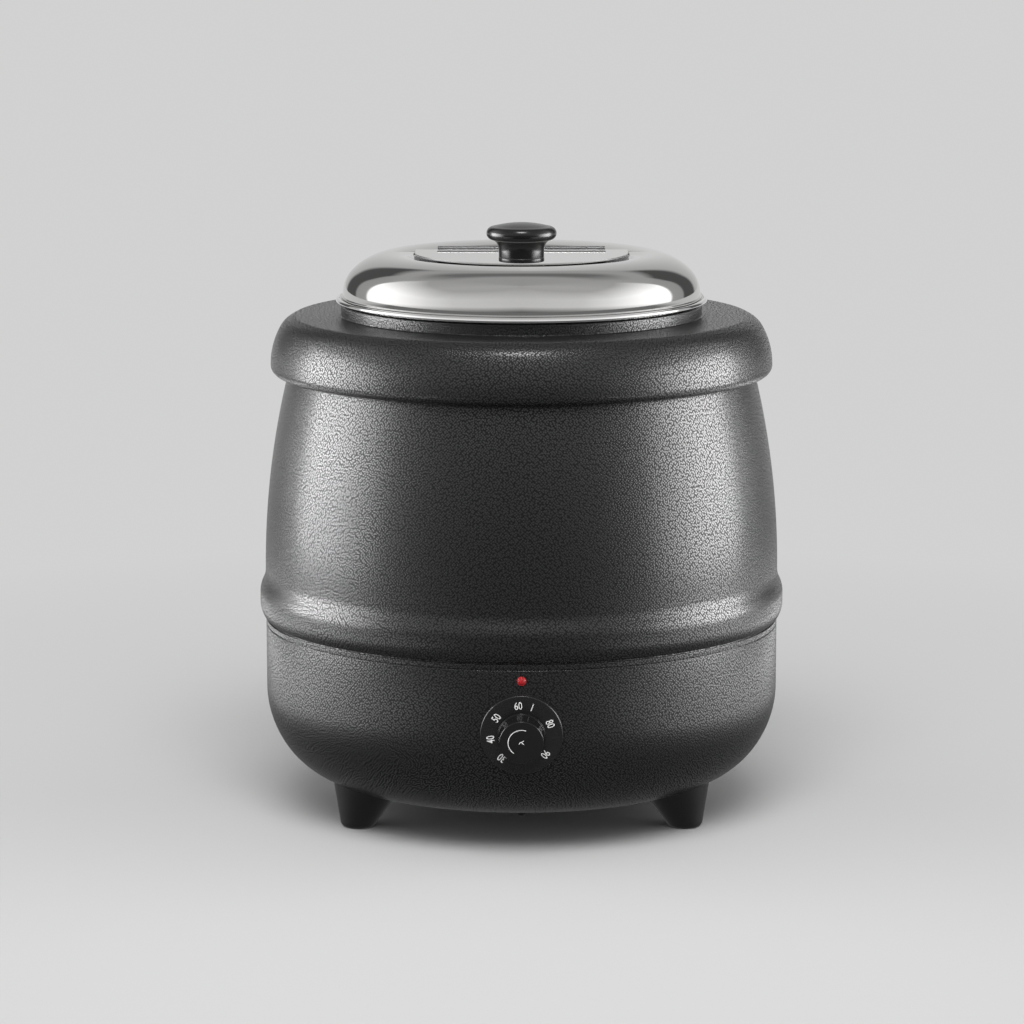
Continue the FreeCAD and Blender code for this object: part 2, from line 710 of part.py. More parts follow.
def flap_blank(setback, rear, bottom, top):
    """A plate with a half-round front and a straight rear edge, set back from the flap's edge."""
    radius = FLAP_RADIUS - setback
    left = FreeCAD.Vector(-radius, -FLAP_FORWARD, bottom)
    front = FreeCAD.Vector(0, -radius - FLAP_FORWARD, bottom)
    right = FreeCAD.Vector(radius, -FLAP_FORWARD, bottom)
    rear_right = FreeCAD.Vector(radius, rear, bottom)
    rear_left = FreeCAD.Vector(-radius, rear, bottom)
    edges = [
        Part.Arc(left, front, right).toShape(),
        Part.LineSegment(right, rear_right).toShape(),
        Part.LineSegment(rear_right, rear_left).toShape(),
        Part.LineSegment(rear_left, left).toShape(),
    ]
    return Part.Face(Part.Wire(edges)).extrude(UP * (top - bottom))


def lid_dome():
    """The lid with its rolled rim and the hatch that the flap covers."""
    bead_centre = FreeCAD.Vector(0, 0, LID_BASE_Z + LID_BEAD_RADIUS)
    bead = Part.makeTorus(LID_RIM_RADIUS - LID_BEAD_RADIUS, LID_BEAD_RADIUS, bead_centre)
    dome = union([sheet(lid_outline, LID_WALL), bead])
    plate = (LID_TOP_Z - 2 * LID_WALL, LID_TOP_Z + LID_WALL)
    hatch = flap_blank(HATCH_LAP, HINGE_Y - HATCH_REAR_MARGIN, *plate)
    holes = [rod_at(RIVET_RADIUS + BUILT_IN_CLEARANCE, *plate, place) for place in fixed_rivet_places()]
    return dome.cut([hatch] + holes)


def flap_holes():
    """Holes through the flap and what lies on it for the knob's screw and the rivets."""
    bottom = FLAP_Z - FLAP_WALL
    top = FLAP_TOP_Z + KNUCKLE_RADIUS
    holes = [rod(KNOB_SCREW_RADIUS + FASTENER_CLEARANCE, bottom, top, 0, KNOB_Y)]
    for place in moving_rivet_places():
        holes.append(rod_at(RIVET_RADIUS + BUILT_IN_CLEARANCE, bottom, top, place))
    return holes


def lid_flap():
    """The half-round plate that lifts."""
    rear = HINGE_Y - KNUCKLE_RADIUS - KNUCKLE_CLEARANCE
    plate = flap_blank(0.0, rear, FLAP_Z, FLAP_TOP_Z)
    rim = [edge for edge in plate.Edges if edge.BoundBox.ZMin > FLAP_Z and edge.BoundBox.YMin < rear / 2]
    return plate.makeFillet(FLAP_EDGE_ROUND, rim).cut(flap_holes())


# Hinge of the flap

def knuckle_spans(first):
    """Start and end along X of every second knuckle."""
    spans = []
    for index in range(first, KNUCKLE_COUNT, 2):
        start = index * KNUCKLE_LENGTH - HINGE_LENGTH / 2
        spans.append((start + KNUCKLE_GAP / 2, start + KNUCKLE_LENGTH - KNUCKLE_GAP / 2))
    return spans


def hinge_leaf(spans, side, depth, bottom, bore):
    """A leaf with its knuckles, behind the pin (side +1) or in front of it (side -1)."""
    near = KNUCKLE_RADIUS + KNUCKLE_CLEARANCE
    centre_y = HINGE_Y + side * (near + depth) / 2
    pieces = [block(HINGE_LENGTH, depth - near, bottom, bottom + LEAF_WALL, 0, centre_y)]
    tab_y = HINGE_Y + side * near / 2
    for start, end in spans:
        middle = (start + end) / 2
        pieces.append(block(end - start, near, bottom, bottom + LEAF_WALL, middle, tab_y))
        barrel_start = FreeCAD.Vector(start, HINGE_Y, HINGE_Z)
        pieces.append(Part.makeCylinder(KNUCKLE_RADIUS, end - start, barrel_start, X_AXIS))
    pin_start = FreeCAD.Vector(-HINGE_LENGTH, HINGE_Y, HINGE_Z)
    hole = Part.makeCylinder(bore, 2 * HINGE_LENGTH, pin_start, X_AXIS)
    return union(pieces).cut(hole)


def rivet_places(y):
    """Plan positions of a leaf's rivets."""
    first = -RIVET_SPACING * (RIVET_COUNT - 1) / 2
    return [FreeCAD.Vector(first + step * RIVET_SPACING, y, 0) for step in range(RIVET_COUNT)]


def fixed_rivet_places():
    """Rivets of the leaf behind the pin."""
    return rivet_places(HINGE_Y + FIXED_LEAF_DEPTH - RIVET_EDGE)


def moving_rivet_places():
    """Rivets of the leaf on the flap."""
    return rivet_places(HINGE_Y - MOVING_LEAF_DEPTH + RIVET_EDGE)


def hinge_fixed_leaf():
    """The leaf on the dome."""
    leaf = hinge_leaf(knuckle_spans(0), 1, FIXED_LEAF_DEPTH, LID_TOP_Z, PIN_RADIUS + BUILT_IN_CLEARANCE)
    top = LID_TOP_Z + LEAF_WALL
    return leaf.cut([
        rod_at(RIVET_RADIUS + BUILT_IN_CLEARANCE, LID_TOP_Z, top, place) for place in fixed_rivet_places()])


def hinge_moving_leaf():
    """The leaf on the flap."""
    leaf = hinge_leaf(knuckle_spans(1), -1, MOVING_LEAF_DEPTH, FLAP_TOP_Z, PIN_RADIUS + RUNNING_CLEARANCE)
    return leaf.cut(flap_holes())


def hinge_pin():
    """The pin through all knuckles."""
    start = FreeCAD.Vector(-HINGE_LENGTH / 2, HINGE_Y, HINGE_Z)
    return Part.makeCylinder(PIN_RADIUS, HINGE_LENGTH, start, X_AXIS)


def rivets(places, bottom, top):
    """Rivets with a domed head above and a flat tail below."""
    profile = Profile(0, bottom - RIVET_TAIL_HEIGHT)
    profile.line(RIVET_HEAD_RADIUS, bottom - RIVET_TAIL_HEIGHT)
    profile.line(RIVET_HEAD_RADIUS, bottom)
    profile.line(RIVET_RADIUS, bottom)
    profile.line(RIVET_RADIUS, top)
    profile.line(RIVET_HEAD_RADIUS, top)
    crown = (RIVET_HEAD_RADIUS ** 2 - RIVET_HEAD_HEIGHT ** 2) / (2 * RIVET_HEAD_HEIGHT)
    profile.arc(0, top - crown, 0, top + RIVET_HEAD_HEIGHT)
    rivet = revolved(profile.closed_edges())
    return Part.makeCompound([rivet.translated(place) for place in places])


def fixed_leaf_rivets():
    """Rivets through the fixed leaf and the dome."""
    return rivets(fixed_rivet_places(), LID_TOP_Z - LID_WALL, LID_TOP_Z + LEAF_WALL)


def moving_leaf_rivets():
    """Rivets through the moving leaf and the flap."""
    return rivets(moving_rivet_places(), FLAP_Z, FLAP_TOP_Z + LEAF_WALL)


# Lid knob

KNOB_BASE_Z = FLAP_TOP_Z + KNOB_RING_HEIGHT


def knob_ring():
    """The low ring between knob and flap."""
    outer = KNOB_STEM_RADIUS + KNOB_RING_LIP
    return tube(KNOB_SCREW_RADIUS + FASTENER_CLEARANCE, outer, FLAP_TOP_Z, KNOB_BASE_Z, 0, KNOB_Y)


def lid_knob():
    """A round stem that flares into a flat cap."""
    flare_z = KNOB_BASE_Z + KNOB_STEM_HEIGHT
    rim_z = flare_z + KNOB_FLARE_RISE + KNOB_RIM_BEND
    shoulder = KNOB_RADIUS - KNOB_RIM_BEND
    flare_run = shoulder - KNOB_STEM_RADIUS
    flare_bend = (flare_run ** 2 + KNOB_FLARE_RISE ** 2) / (2 * flare_run)
    top_z = rim_z + KNOB_RIM_BEND
    crown_bend = (shoulder ** 2 + KNOB_CROWN ** 2) / (2 * KNOB_CROWN)
    profile = Profile(0, KNOB_BASE_Z)
    profile.line(KNOB_STEM_RADIUS, KNOB_BASE_Z)
    profile.line(KNOB_STEM_RADIUS, flare_z)
    profile.arc(KNOB_STEM_RADIUS + flare_bend, flare_z, shoulder, flare_z + KNOB_FLARE_RISE)
    profile.arc(shoulder, rim_z, KNOB_RADIUS, rim_z)
    profile.arc(shoulder, rim_z, shoulder, top_z)
    profile.arc(0, top_z + KNOB_CROWN - crown_bend, 0, top_z + KNOB_CROWN)
    solid = revolved(profile.closed_edges())
    bore = rod(KNOB_SCREW_RADIUS + BUILT_IN_CLEARANCE, KNOB_BASE_Z, KNOB_BASE_Z + KNOB_SCREW_GRIP)
    return solid.cut(bore).translated(FreeCAD.Vector(0, KNOB_Y, 0))


def knob_screw():
    """The screw from under the flap into the knob."""
    head = rod(KNOB_SCREW_HEAD_RADIUS, FLAP_Z - KNOB_SCREW_HEAD_HEIGHT, FLAP_Z, 0, KNOB_Y)
    tip = KNOB_BASE_Z + KNOB_SCREW_GRIP - BUILT_IN_CLEARANCE
    return union([head, rod(KNOB_SCREW_RADIUS, FLAP_Z, tip, 0, KNOB_Y)])


# Dial and thermostat

def dial_plate():
    """The fixed round plate behind the knob, its back shaped to the pan."""
    disc = rod(DIAL_PLATE_RADIUS, -PAN_CUTTER_REACH, DIAL_PLATE_FRONT)
    rim = [edge for edge in disc.Edges if edge.BoundBox.ZMin > 0]
    disc = disc.makeFillet(DIAL_PLATE_ROUND, rim)
    hole = rod(BUSH_RADIUS + FASTENER_CLEARANCE, -PAN_CUTTER_REACH, DIAL_PLATE_FRONT)
    return placed(disc.cut(hole), DIAL_FRAME).cut(PAN_OUTSIDE)


def shaft_section(radius, bottom, top):
    """A round shaft with a flat on its upper side."""
    side = 2 * radius
    flat_y = radius - SHAFT_FLAT + radius
    return rod(radius, bottom, top).cut(block(side, side, bottom, top, 0, flat_y))


def dial_knob():
    """The tapered knob, hollow behind to clear the thermostat's nut."""
    profile = Profile(0, DIAL_BACK)
    profile.line(DIAL_BASE_RADIUS, DIAL_BACK)
    profile.line(DIAL_FACE_RADIUS, DIAL_FACE)
    profile.line(0, DIAL_FACE)
    body = revolved(profile.closed_edges())
    face = [edge for edge in body.Edges if edge.BoundBox.ZMin > DIAL_FACE - DIAL_GAP and edge.Closed]
    body = body.makeFillet(DIAL_FACE_ROUND, face)
    hollow = rod(DIAL_HOLLOW_RADIUS, DIAL_BACK, DIAL_BACK + DIAL_HOLLOW_DEPTH)
    socket_top = DIAL_BACK + DIAL_HOLLOW_DEPTH + DIAL_SHAFT_GRIP
    socket = shaft_section(SHAFT_RADIUS + BUILT_IN_CLEARANCE, DIAL_BACK, socket_top)
    return placed(body.cut([hollow, socket]), DIAL_FRAME)


def dial_shaft():
    """The thermostat's shaft, round in its bush and flat in the knob."""
    bush_end = DIAL_PLATE_FRONT + THERMOSTAT_NUT_HEIGHT
    tip = DIAL_BACK + DIAL_HOLLOW_DEPTH + DIAL_SHAFT_GRIP - BUILT_IN_CLEARANCE
    flatted = shaft_section(SHAFT_RADIUS, bush_end, tip)
    return placed(union([rod(SHAFT_RADIUS, -SHAFT_DEPTH, bush_end), flatted]), DIAL_FRAME)


def thermostat_body():
    """The switch box with its bush, which the nut pulls against the pan."""
    box = block(THERMOSTAT_WIDTH, THERMOSTAT_HEIGHT, -THERMOSTAT_BACK, -THERMOSTAT_STANDOFF)
    boss = placed(rod(BUSH_BOSS_RADIUS, -THERMOSTAT_STANDOFF, 0), DIAL_FRAME).common(PAN_INSIDE)
    bush = rod(BUSH_RADIUS, -THERMOSTAT_STANDOFF, DIAL_PLATE_FRONT + THERMOSTAT_NUT_HEIGHT)
    bore = rod(SHAFT_RADIUS + RUNNING_CLEARANCE, -SHAFT_DEPTH - REST_GAP, DIAL_FACE)
    solid = union([placed(box, DIAL_FRAME), boss, placed(bush, DIAL_FRAME)] + thermostat_tabs())
    return solid.cut(placed(bore, DIAL_FRAME))


def thermostat_nut():
    """The nut that clamps dial plate, pan and thermostat."""
    top = DIAL_PLATE_FRONT + THERMOSTAT_NUT_HEIGHT
    bore = BUSH_RADIUS + BUILT_IN_CLEARANCE
    return placed(nut(THERMOSTAT_NUT_FLATS, bore, DIAL_PLATE_FRONT, top, ORIGIN), DIAL_FRAME)


def thermostat_tab_point(side, drop):
    """A point on a thermostat tab, at a distance below the switch box."""
    local = FreeCAD.Vector(side * TAB_SPREAD, -THERMOSTAT_HEIGHT / 2 - drop, -THERMOSTAT_BACK + TAB_WIDTH)
    return DIAL_FRAME.multVec(local)


def thermostat_tabs():
    """The two blades moulded into the switch box, under it."""
    tabs = []
    for side in (-1, 1):
        y = -THERMOSTAT_HEIGHT / 2 - TAB_LENGTH / 2
        z = -THERMOSTAT_BACK + TAB_WIDTH
        blade = block(TAB_WIDTH, TAB_LENGTH, z - TAB_WALL / 2, z + TAB_WALL / 2, side * TAB_SPREAD, y)
        tabs.append(placed(blade, DIAL_FRAME))
    return tabs


BULB_PLACE = polar(BULB_CIRCLE, BULB_ANGLE, 0)


def sensor_bulb():
    """The bulb that feels the well's wall."""
    return rod_at(BULB_RADIUS, BULB_Z, BULB_Z + BULB_LENGTH, BULB_PLACE)


def bulb_clips():
    """Two clips that hold the bulb against the well."""
    clips = []
    for side in (-1, 1):
        bottom = BULB_Z + BULB_LENGTH / 2 + side * CLIP_SPREAD / 2 - CLIP_HEIGHT / 2
        top = bottom + CLIP_HEIGHT
        pad = block(2 * BULB_RADIUS, 2 * BULB_RADIUS, bottom, top, BULB_CIRCLE - BULB_RADIUS, 0)
        sleeve = rod_at(BULB_RADIUS + CLIP_WALL, bottom, top, BULB_PLACE)
        clip = union([sleeve, turned(pad, BULB_ANGLE)])
        bore = rod_at(BULB_RADIUS + BUILT_IN_CLEARANCE, bottom, top, BULB_PLACE)
        clips.append(clip.cut([bore, rod(WELL_RADIUS, bottom, top)]))
    return Part.makeCompound(clips)


def capillary_tube():
    """The thin tube from the switch box to the foot of the bulb."""
    side = FreeCAD.Vector(-THERMOSTAT_WIDTH / 2 - LEAD_END_GAP, 0, -THERMOSTAT_BACK + TAB_WIDTH)
    out = FreeCAD.Vector(-TAB_WIDTH, 0, 0)
    foot = polar(BULB_CIRCLE, BULB_ANGLE, BULB_Z - LEAD_END_GAP)
    points = [DIAL_FRAME.multVec(side), DIAL_FRAME.multVec(side + out)]
    points.append(polar(BULB_CIRCLE + TAB_LENGTH, BULB_ANGLE + CAPILLARY_APPROACH, WELL_FLOOR_Z))
    points.append(polar(BULB_CIRCLE, BULB_ANGLE + CAPILLARY_LEAD_IN, WELL_FLOOR_Z))
    points += [foot - UP * (BULB_RISE / 2), foot]
    return bent_tube(points, CAPILLARY_RADIUS)


# Pilot lamp

def lamp_lens():
    """The domed lens with a small flange on the pan and a tube through it."""
    dome_base = LENS_FLANGE_HEIGHT
    crown_bend = (LENS_RADIUS ** 2 + LENS_DOME_HEIGHT ** 2) / (2 * LENS_DOME_HEIGHT)
    profile = Profile(0, -LENS_TUBE_LENGTH)
    profile.line(LENS_RADIUS, -LENS_TUBE_LENGTH)
    profile.line(LENS_RADIUS, 0)
    profile.line(LENS_FLANGE_RADIUS, 0)
    profile.line(LENS_FLANGE_RADIUS, dome_base)
    profile.line(LENS_RADIUS, dome_base)
    profile.arc(0, dome_base + LENS_DOME_HEIGHT - crown_bend, 0, dome_base + LENS_DOME_HEIGHT)
    return placed(revolved(profile.closed_edges()), LAMP_FRAME)


def lamp_holder():
    """The lamp's holder on the end of the lens tube."""
    end = -LENS_TUBE_LENGTH - LAMP_HOLDER_LENGTH
    return placed(rod(LAMP_HOLDER_RADIUS, end, -LENS_TUBE_LENGTH), LAMP_FRAME)


def lamp_push_nut():
    """The washer that grips the lens tube inside the pan."""
    sag = PAN_RADIUS - math.sqrt(PAN_RADIUS ** 2 - PUSH_NUT_RADIUS ** 2)
    front = -SHEET - sag - SEAT_GAP
    ring = tube(LENS_RADIUS + BUILT_IN_CLEARANCE, PUSH_NUT_RADIUS, front - PUSH_NUT_WALL, front)
    return placed(ring, LAMP_FRAME)


# Heating element and what holds it

def element_end(side):
    """End of the ring, the direction it leaves in, and the top of its leg."""
    angle = ELEMENT_ANGLE + side * ELEMENT_HALF_GAP
    end = polar(ELEMENT_RADIUS, angle, ELEMENT_Z)
    away = polar(1.0, angle - side * QUARTER, 0)
    leg = end + away * ELEMENT_BEND - UP * ELEMENT_BEND
    return end, away, leg


def element_leg_place(side):
    """Plan position of a leg."""
    leg = element_end(side)[2]
    return FreeCAD.Vector(leg.x, leg.y, 0)


def heating_element():
    """The sheathed ring, flattened against the well, with its two legs."""
    quarter_turn = math.sqrt(0.5)
    path = []
    for side in (1, -1):
        end, away, leg = element_end(side)
        lift = UP * (ELEMENT_BEND * (quarter_turn - 1.0))
        bend = Part.Arc(end, end + away * (ELEMENT_BEND * quarter_turn) + lift, leg).toShape()
        foot = FreeCAD.Vector(leg.x, leg.y, ELEMENT_LEG_Z)
        path += [bend, Part.LineSegment(leg, foot).toShape()]
        far = polar(ELEMENT_RADIUS, ELEMENT_ANGLE + side * QUARTER, ELEMENT_Z)
        opposite = polar(ELEMENT_RADIUS, ELEMENT_ANGLE + 2 * QUARTER, ELEMENT_Z)
        path.append(Part.Arc(end, far, opposite).toShape())
    wire = Part.Wire(Part.__sortEdges__(path))
    foot = element_leg_place(1) + UP * ELEMENT_LEG_Z
    section = Part.Wire(Part.makeCircle(ELEMENT_TUBE_RADIUS, foot, UP))
    tube_solid = wire.makePipeShell([section], True, False)
    reach = ELEMENT_RADIUS + 2 * ELEMENT_TUBE_RADIUS
    above = rod(reach, WELL_FLOOR_Z, WELL_FLOOR_Z + ELEMENT_TUBE_RADIUS)
    return tube_solid.cut(above)


def element_terminals():
    """The pins below the legs."""
    span = (ELEMENT_LEG_Z - TERMINAL_PIN_LENGTH, ELEMENT_LEG_Z)
    return Part.makeCompound([
        rod_at(TERMINAL_PIN_RADIUS, *span, element_leg_place(side)) for side in (1, -1)])


def element_insulators():
    """Ceramic sleeves where the legs pass the shield."""
    middle = SHIELD_TOP_Z - SHIELD_WALL / 2
    span = (middle - INSULATOR_LENGTH / 2, middle + INSULATOR_LENGTH / 2)
    radii = (ELEMENT_TUBE_RADIUS + BUILT_IN_CLEARANCE, ELEMENT_TUBE_RADIUS + INSULATOR_WALL)
    return Part.makeCompound([tube_at(*radii, *span, element_leg_place(side)) for side in (1, -1)])


def clamp_stud_places():
    """Plan positions of the studs under the well."""
    return ring_places(CLAMP_STUDS, CLAMP_STUD_CIRCLE, CLAMP_STUD_START)


def element_clamp_plate():
    """The disc that presses element and cut-out against the well."""
    span = (CLAMP_TOP_Z - CLAMP_WALL, CLAMP_TOP_Z)
    notch = rod_at(CLAMP_NOTCH_RADIUS, *span, polar(CLAMP_RADIUS, ELEMENT_ANGLE, 0))
    cuts = [notch, rod(CUTOUT_BOSS_RADIUS + FASTENER_CLEARANCE, *span)]
    for place in clamp_stud_places():
        cuts.append(rod_at(CLAMP_STUD_RADIUS + FASTENER_CLEARANCE, *span, place))
    return rod(CLAMP_RADIUS, *span).cut(cuts)


def clamp_studs():
    """Studs welded to the well's floor."""
    end = SHIELD_NUT_Z - CLAMP_STUD_RADIUS
    return Part.makeCompound([
        rod_at(CLAMP_STUD_RADIUS, end, WELL_FLOOR_Z, place) for place in clamp_stud_places()])


def stud_nuts(bottom):
    """One nut on each stud."""
    return Part.makeCompound([
        nut(M4_NUT_FLATS, CLAMP_STUD_RADIUS + BUILT_IN_CLEARANCE, bottom, bottom + M4_NUT_HEIGHT, place)
        for place in clamp_stud_places()])


def clamp_nuts():
    """Nuts under the clamp plate."""
    return stud_nuts(CLAMP_NUT_Z)


def shield_nuts():
    """Nuts under the heat shield."""
    return stud_nuts(SHIELD_NUT_Z)


def shield_spacers():
    """Tubes on the studs between clamp nuts and shield."""
    bore = CLAMP_STUD_RADIUS + FASTENER_CLEARANCE
    radii = (bore, bore + SPACER_WALL)
    return Part.makeCompound([
        tube_at(*radii, SHIELD_TOP_Z, CLAMP_NUT_Z, place) for place in clamp_stud_places()])


def heat_shield():
    """The disc that keeps heat from the wiring."""
    span = (SHIELD_TOP_Z - SHIELD_WALL, SHIELD_TOP_Z)
    cuts = [rod(SHIELD_HOLE_RADIUS, *span)]
    for place in clamp_stud_places():
        cuts.append(rod_at(CLAMP_STUD_RADIUS + FASTENER_CLEARANCE, *span, place))
    sleeve = ELEMENT_TUBE_RADIUS + INSULATOR_WALL
    for side in (1, -1):
        cuts.append(rod_at(sleeve + FASTENER_CLEARANCE, *span, element_leg_place(side)))
    return rod(SHIELD_RADIUS, *span).cut(cuts)


CUTOUT_END_Z = CLAMP_TOP_Z - CLAMP_WALL - CUTOUT_BOSS_DROP


def thermal_cutout():
    """The boil-dry switch between clamp plate and well, with its two blades below."""
    pieces = [rod(CUTOUT_RADIUS, CLAMP_TOP_Z, WELL_FLOOR_Z - SEAT_GAP)]
    pieces.append(rod(CUTOUT_BOSS_RADIUS, CUTOUT_END_Z, CLAMP_TOP_Z))
    for side in (-1, 1):
        x = side * CUTOUT_TAB_SPREAD
        pieces.append(block(TAB_WALL, TAB_WIDTH, CUTOUT_END_Z - TAB_LENGTH, CUTOUT_END_Z, x, 0))
    return union(pieces)


# Tie rods and bottom plate

def tie_places():
    """Plan positions of the tie rods."""
    return ring_places(TIE_COUNT, TIE_CIRCLE, 0.0)


def tie_rods():
    """Rods from the well's floor through the pan that pull the stack together."""
    return Part.makeCompound([
        rod_at(TIE_RADIUS, PAN_FLOOR_Z - TIE_TAIL, WELL_FLOOR_Z, place) for place in tie_places()])


def tie_washers():
    """Washers under the pan's floor."""
    bore = TIE_RADIUS + FASTENER_CLEARANCE
    bottom = PAN_FLOOR_Z - TIE_WASHER_WALL
    return Part.makeCompound([
        tube_at(bore, TIE_WASHER_RADIUS, bottom, PAN_FLOOR_Z, place) for place in tie_places()])


def tie_nuts():
    """Nuts under the washers."""
    top = PAN_FLOOR_Z - TIE_WASHER_WALL
    return Part.makeCompound([
        nut(TIE_NUT_FLATS, TIE_RADIUS + BUILT_IN_CLEARANCE, top - TIE_NUT_HEIGHT, top, place)
        for place in tie_places()])


def plate_screw_places():
    """Plan positions of the bottom plate's screws, between the tie rods."""
    circle = SERVICE_HOLE_RADIUS + PLATE_LAP / 2
    return ring_places(PLATE_SCREWS, circle, FULL_TURN / PLATE_SCREWS / 2)


def bottom_plate():
    """The round cover of the service hole, with rings of vent slots."""
    span = (PAN_FLOOR_Z - PLATE_WALL, PAN_FLOOR_Z)
    cuts = [rod_at(PLATE_SCREW_RADIUS + FASTENER_CLEARANCE, *span, place) for place in plate_screw_places()]
    for ring in range(VENT_RINGS):
        circle = VENT_FIRST_CIRCLE + ring * VENT_RING_STEP
        slot = block(VENT_LENGTH, VENT_WIDTH, *span, circle, 0)
        for step in range(VENT_COUNT):
            cuts.append(turned(slot, FULL_TURN * (step + ring / 2) / VENT_COUNT))
    return rod(PLATE_RADIUS, *span).cut(cuts)


def screws_up(places, seat, length):
    """Screws with a round head below a seat and a shank above it."""
    screws = []
    for place in places:
        head = rod_at(PLATE_SCREW_HEAD_RADIUS, seat - PLATE_SCREW_HEAD_HEIGHT, seat, place)
        screws.append(union([head, rod_at(PLATE_SCREW_RADIUS, seat, seat + length, place)]))
    return Part.makeCompound(screws)


def bottom_plate_screws():
    """Screws through the bottom plate into the pan's floor."""
    return screws_up(plate_screw_places(), PAN_FLOOR_Z - PLATE_WALL, PLATE_SCREW_LENGTH)


# Terminal block and earth stud

def block_point(along, depth, z):
    """A point beside the terminal block: along its length, inward from its middle, at a height."""
    outward = polar(1.0, BLOCK_ANGLE, 0)
    sideways = polar(1.0, BLOCK_ANGLE + QUARTER, 0)
    return outward * (BLOCK_CIRCLE - depth) + sideways * along + UP * z


def block_screw_places():
    """Plan positions of the block's screws, between its poles."""
    return [block_point(side * BLOCK_POLE_PITCH / 2, 0, 0) for side in (-1, 1)]


def terminal_block():
    """The three-pole block, with a port for each inner lead."""
    top = PAN_FLOOR_TOP + BLOCK_HEIGHT
    body = turned(block(BLOCK_DEPTH, BLOCK_LENGTH, PAN_FLOOR_TOP, top, BLOCK_CIRCLE, 0), BLOCK_ANGLE)
    cuts = []
    inward = polar(-1.0, BLOCK_ANGLE, 0)
    for pole in (-1, 0, 1):
        mouth = block_point(pole * BLOCK_POLE_PITCH, BLOCK_DEPTH / 2 - BLOCK_PORT_DEPTH, BLOCK_PORT_Z)
        cuts.append(Part.makeCylinder(BLOCK_PORT_RADIUS, BLOCK_PORT_DEPTH, mouth, inward))
    for place in block_screw_places():
        cuts.append(rod_at(PLATE_SCREW_RADIUS + BUILT_IN_CLEARANCE, PAN_FLOOR_TOP, top, place))
    return body.common(PAN_INSIDE).cut(cuts)


def terminal_block_screws():
    """Screws from under the pan's floor into the block."""
    return screws_up(block_screw_places(), PAN_FLOOR_Z, BLOCK_HEIGHT)


EARTH_PLACE = polar(BLOCK_CIRCLE, EARTH_ANGLE, 0)
EARTH_NUT_Z = PAN_FLOOR_TOP + EARTH_FOOT_HEIGHT + M4_NUT_HEIGHT


def earth_stud():
    """The stud welded to the pan's floor."""
    flange = rod_at(EARTH_FOOT_RADIUS, PAN_FLOOR_TOP, PAN_FLOOR_TOP + EARTH_FOOT_HEIGHT, EARTH_PLACE)
    shank = rod_at(CLAMP_STUD_RADIUS, PAN_FLOOR_TOP, PAN_FLOOR_TOP + EARTH_HEIGHT, EARTH_PLACE)
    return union([flange, shank]).common(PAN_INSIDE)


def earth_nut():
    """The nut on the earth stud, down on its foot."""
    bottom = PAN_FLOOR_TOP + EARTH_FOOT_HEIGHT
    return nut(M4_NUT_FLATS, CLAMP_STUD_RADIUS + BUILT_IN_CLEARANCE, bottom, EARTH_NUT_Z, EARTH_PLACE)


# Cable gland

def cable_gland():
    """The gland in the rear wall, with the bore for the cord."""
    flange = placed(rod(GLAND_FLANGE_RADIUS, -PAN_CUTTER_REACH, GLAND_FLANGE_HEIGHT), GLAND_FRAME)
    flange = flange.cut(PAN_OUTSIDE)
    nose = Part.makeCone(
        GLAND_NOSE_RADIUS, GLAND_TIP_RADIUS, GLAND_NOSE_LENGTH, UP * GLAND_FLANGE_HEIGHT)
    thread = rod(GLAND_THREAD_RADIUS, -GLAND_THREAD_LENGTH, GLAND_FLANGE_HEIGHT)
    solid = union([flange, placed(nose, GLAND_FRAME), placed(thread, GLAND_FRAME)])
    bore = rod(GLAND_BORE_RADIUS, -GLAND_THREAD_LENGTH, GLAND_FLANGE_HEIGHT + GLAND_NOSE_LENGTH)
    return solid.cut(placed(bore, GLAND_FRAME))


def gland_nut():
    """The nut inside the pan, its face shaped to the wall."""
    bore = GLAND_THREAD_RADIUS + BUILT_IN_CLEARANCE
    blank = nut(GLAND_NUT_FLATS, bore, -SHEET - GLAND_NUT_HEIGHT, 0, ORIGIN)
    return placed(blank, GLAND_FRAME).common(PAN_INSIDE)


# Feet

def foot_blank():
    """A slanted tapered stub at angle zero, higher than the pan's corner above it."""
    sole_centre = FreeCAD.Vector(FOOT_SOLE_CIRCLE, 0, 0)
    head_centre = FreeCAD.Vector(FOOT_HEAD_CIRCLE, 0, FOOT_BLANK_HEIGHT)
    sole = Part.Wire(Part.makeCircle(FOOT_SOLE_RADIUS, sole_centre))
    head = Part.Wire(Part.makeCircle(FOOT_HEAD_RADIUS, head_centre))
    stub = Part.makeLoft([sole, head], True, True)
    rim = [edge for edge in stub.Edges if edge.BoundBox.ZMax < FOOT_SOLE_ROUND]
    return stub.makeFillet(FOOT_SOLE_ROUND, rim)


def foot(angle):
    """A foot under the pan, its head shaped to the pan's corner, with its screw's hole."""
    recess = rod(FOOT_SCREW_HEAD_RADIUS + FASTENER_CLEARANCE, 0, FOOT_SCREW_RECESS, FOOT_SOLE_CIRCLE, 0)
    hole = rod(FOOT_SCREW_RADIUS + FASTENER_CLEARANCE, 0, FOOT_BLANK_HEIGHT, FOOT_SOLE_CIRCLE, 0)
    plate_room = rod(PLATE_RADIUS + FOOT_PLATE_GAP, 0, PAN_FLOOR_Z)
    return turned(foot_blank().cut([recess, hole, plate_room, PAN_OUTSIDE]), angle)


def foot_seat_z():
    """Height of the pan's outer face above the middle of a foot's sole."""
    sole = FreeCAD.Vector(FOOT_SOLE_CIRCLE, 0, 0)
    return PAN_OUTSIDE.common(Part.makeLine(sole, sole + UP * PAN_TOP_Z)).BoundBox.ZMin


FOOT_SCREW_TOP = foot_seat_z() + FOOT_SCREW_TAIL


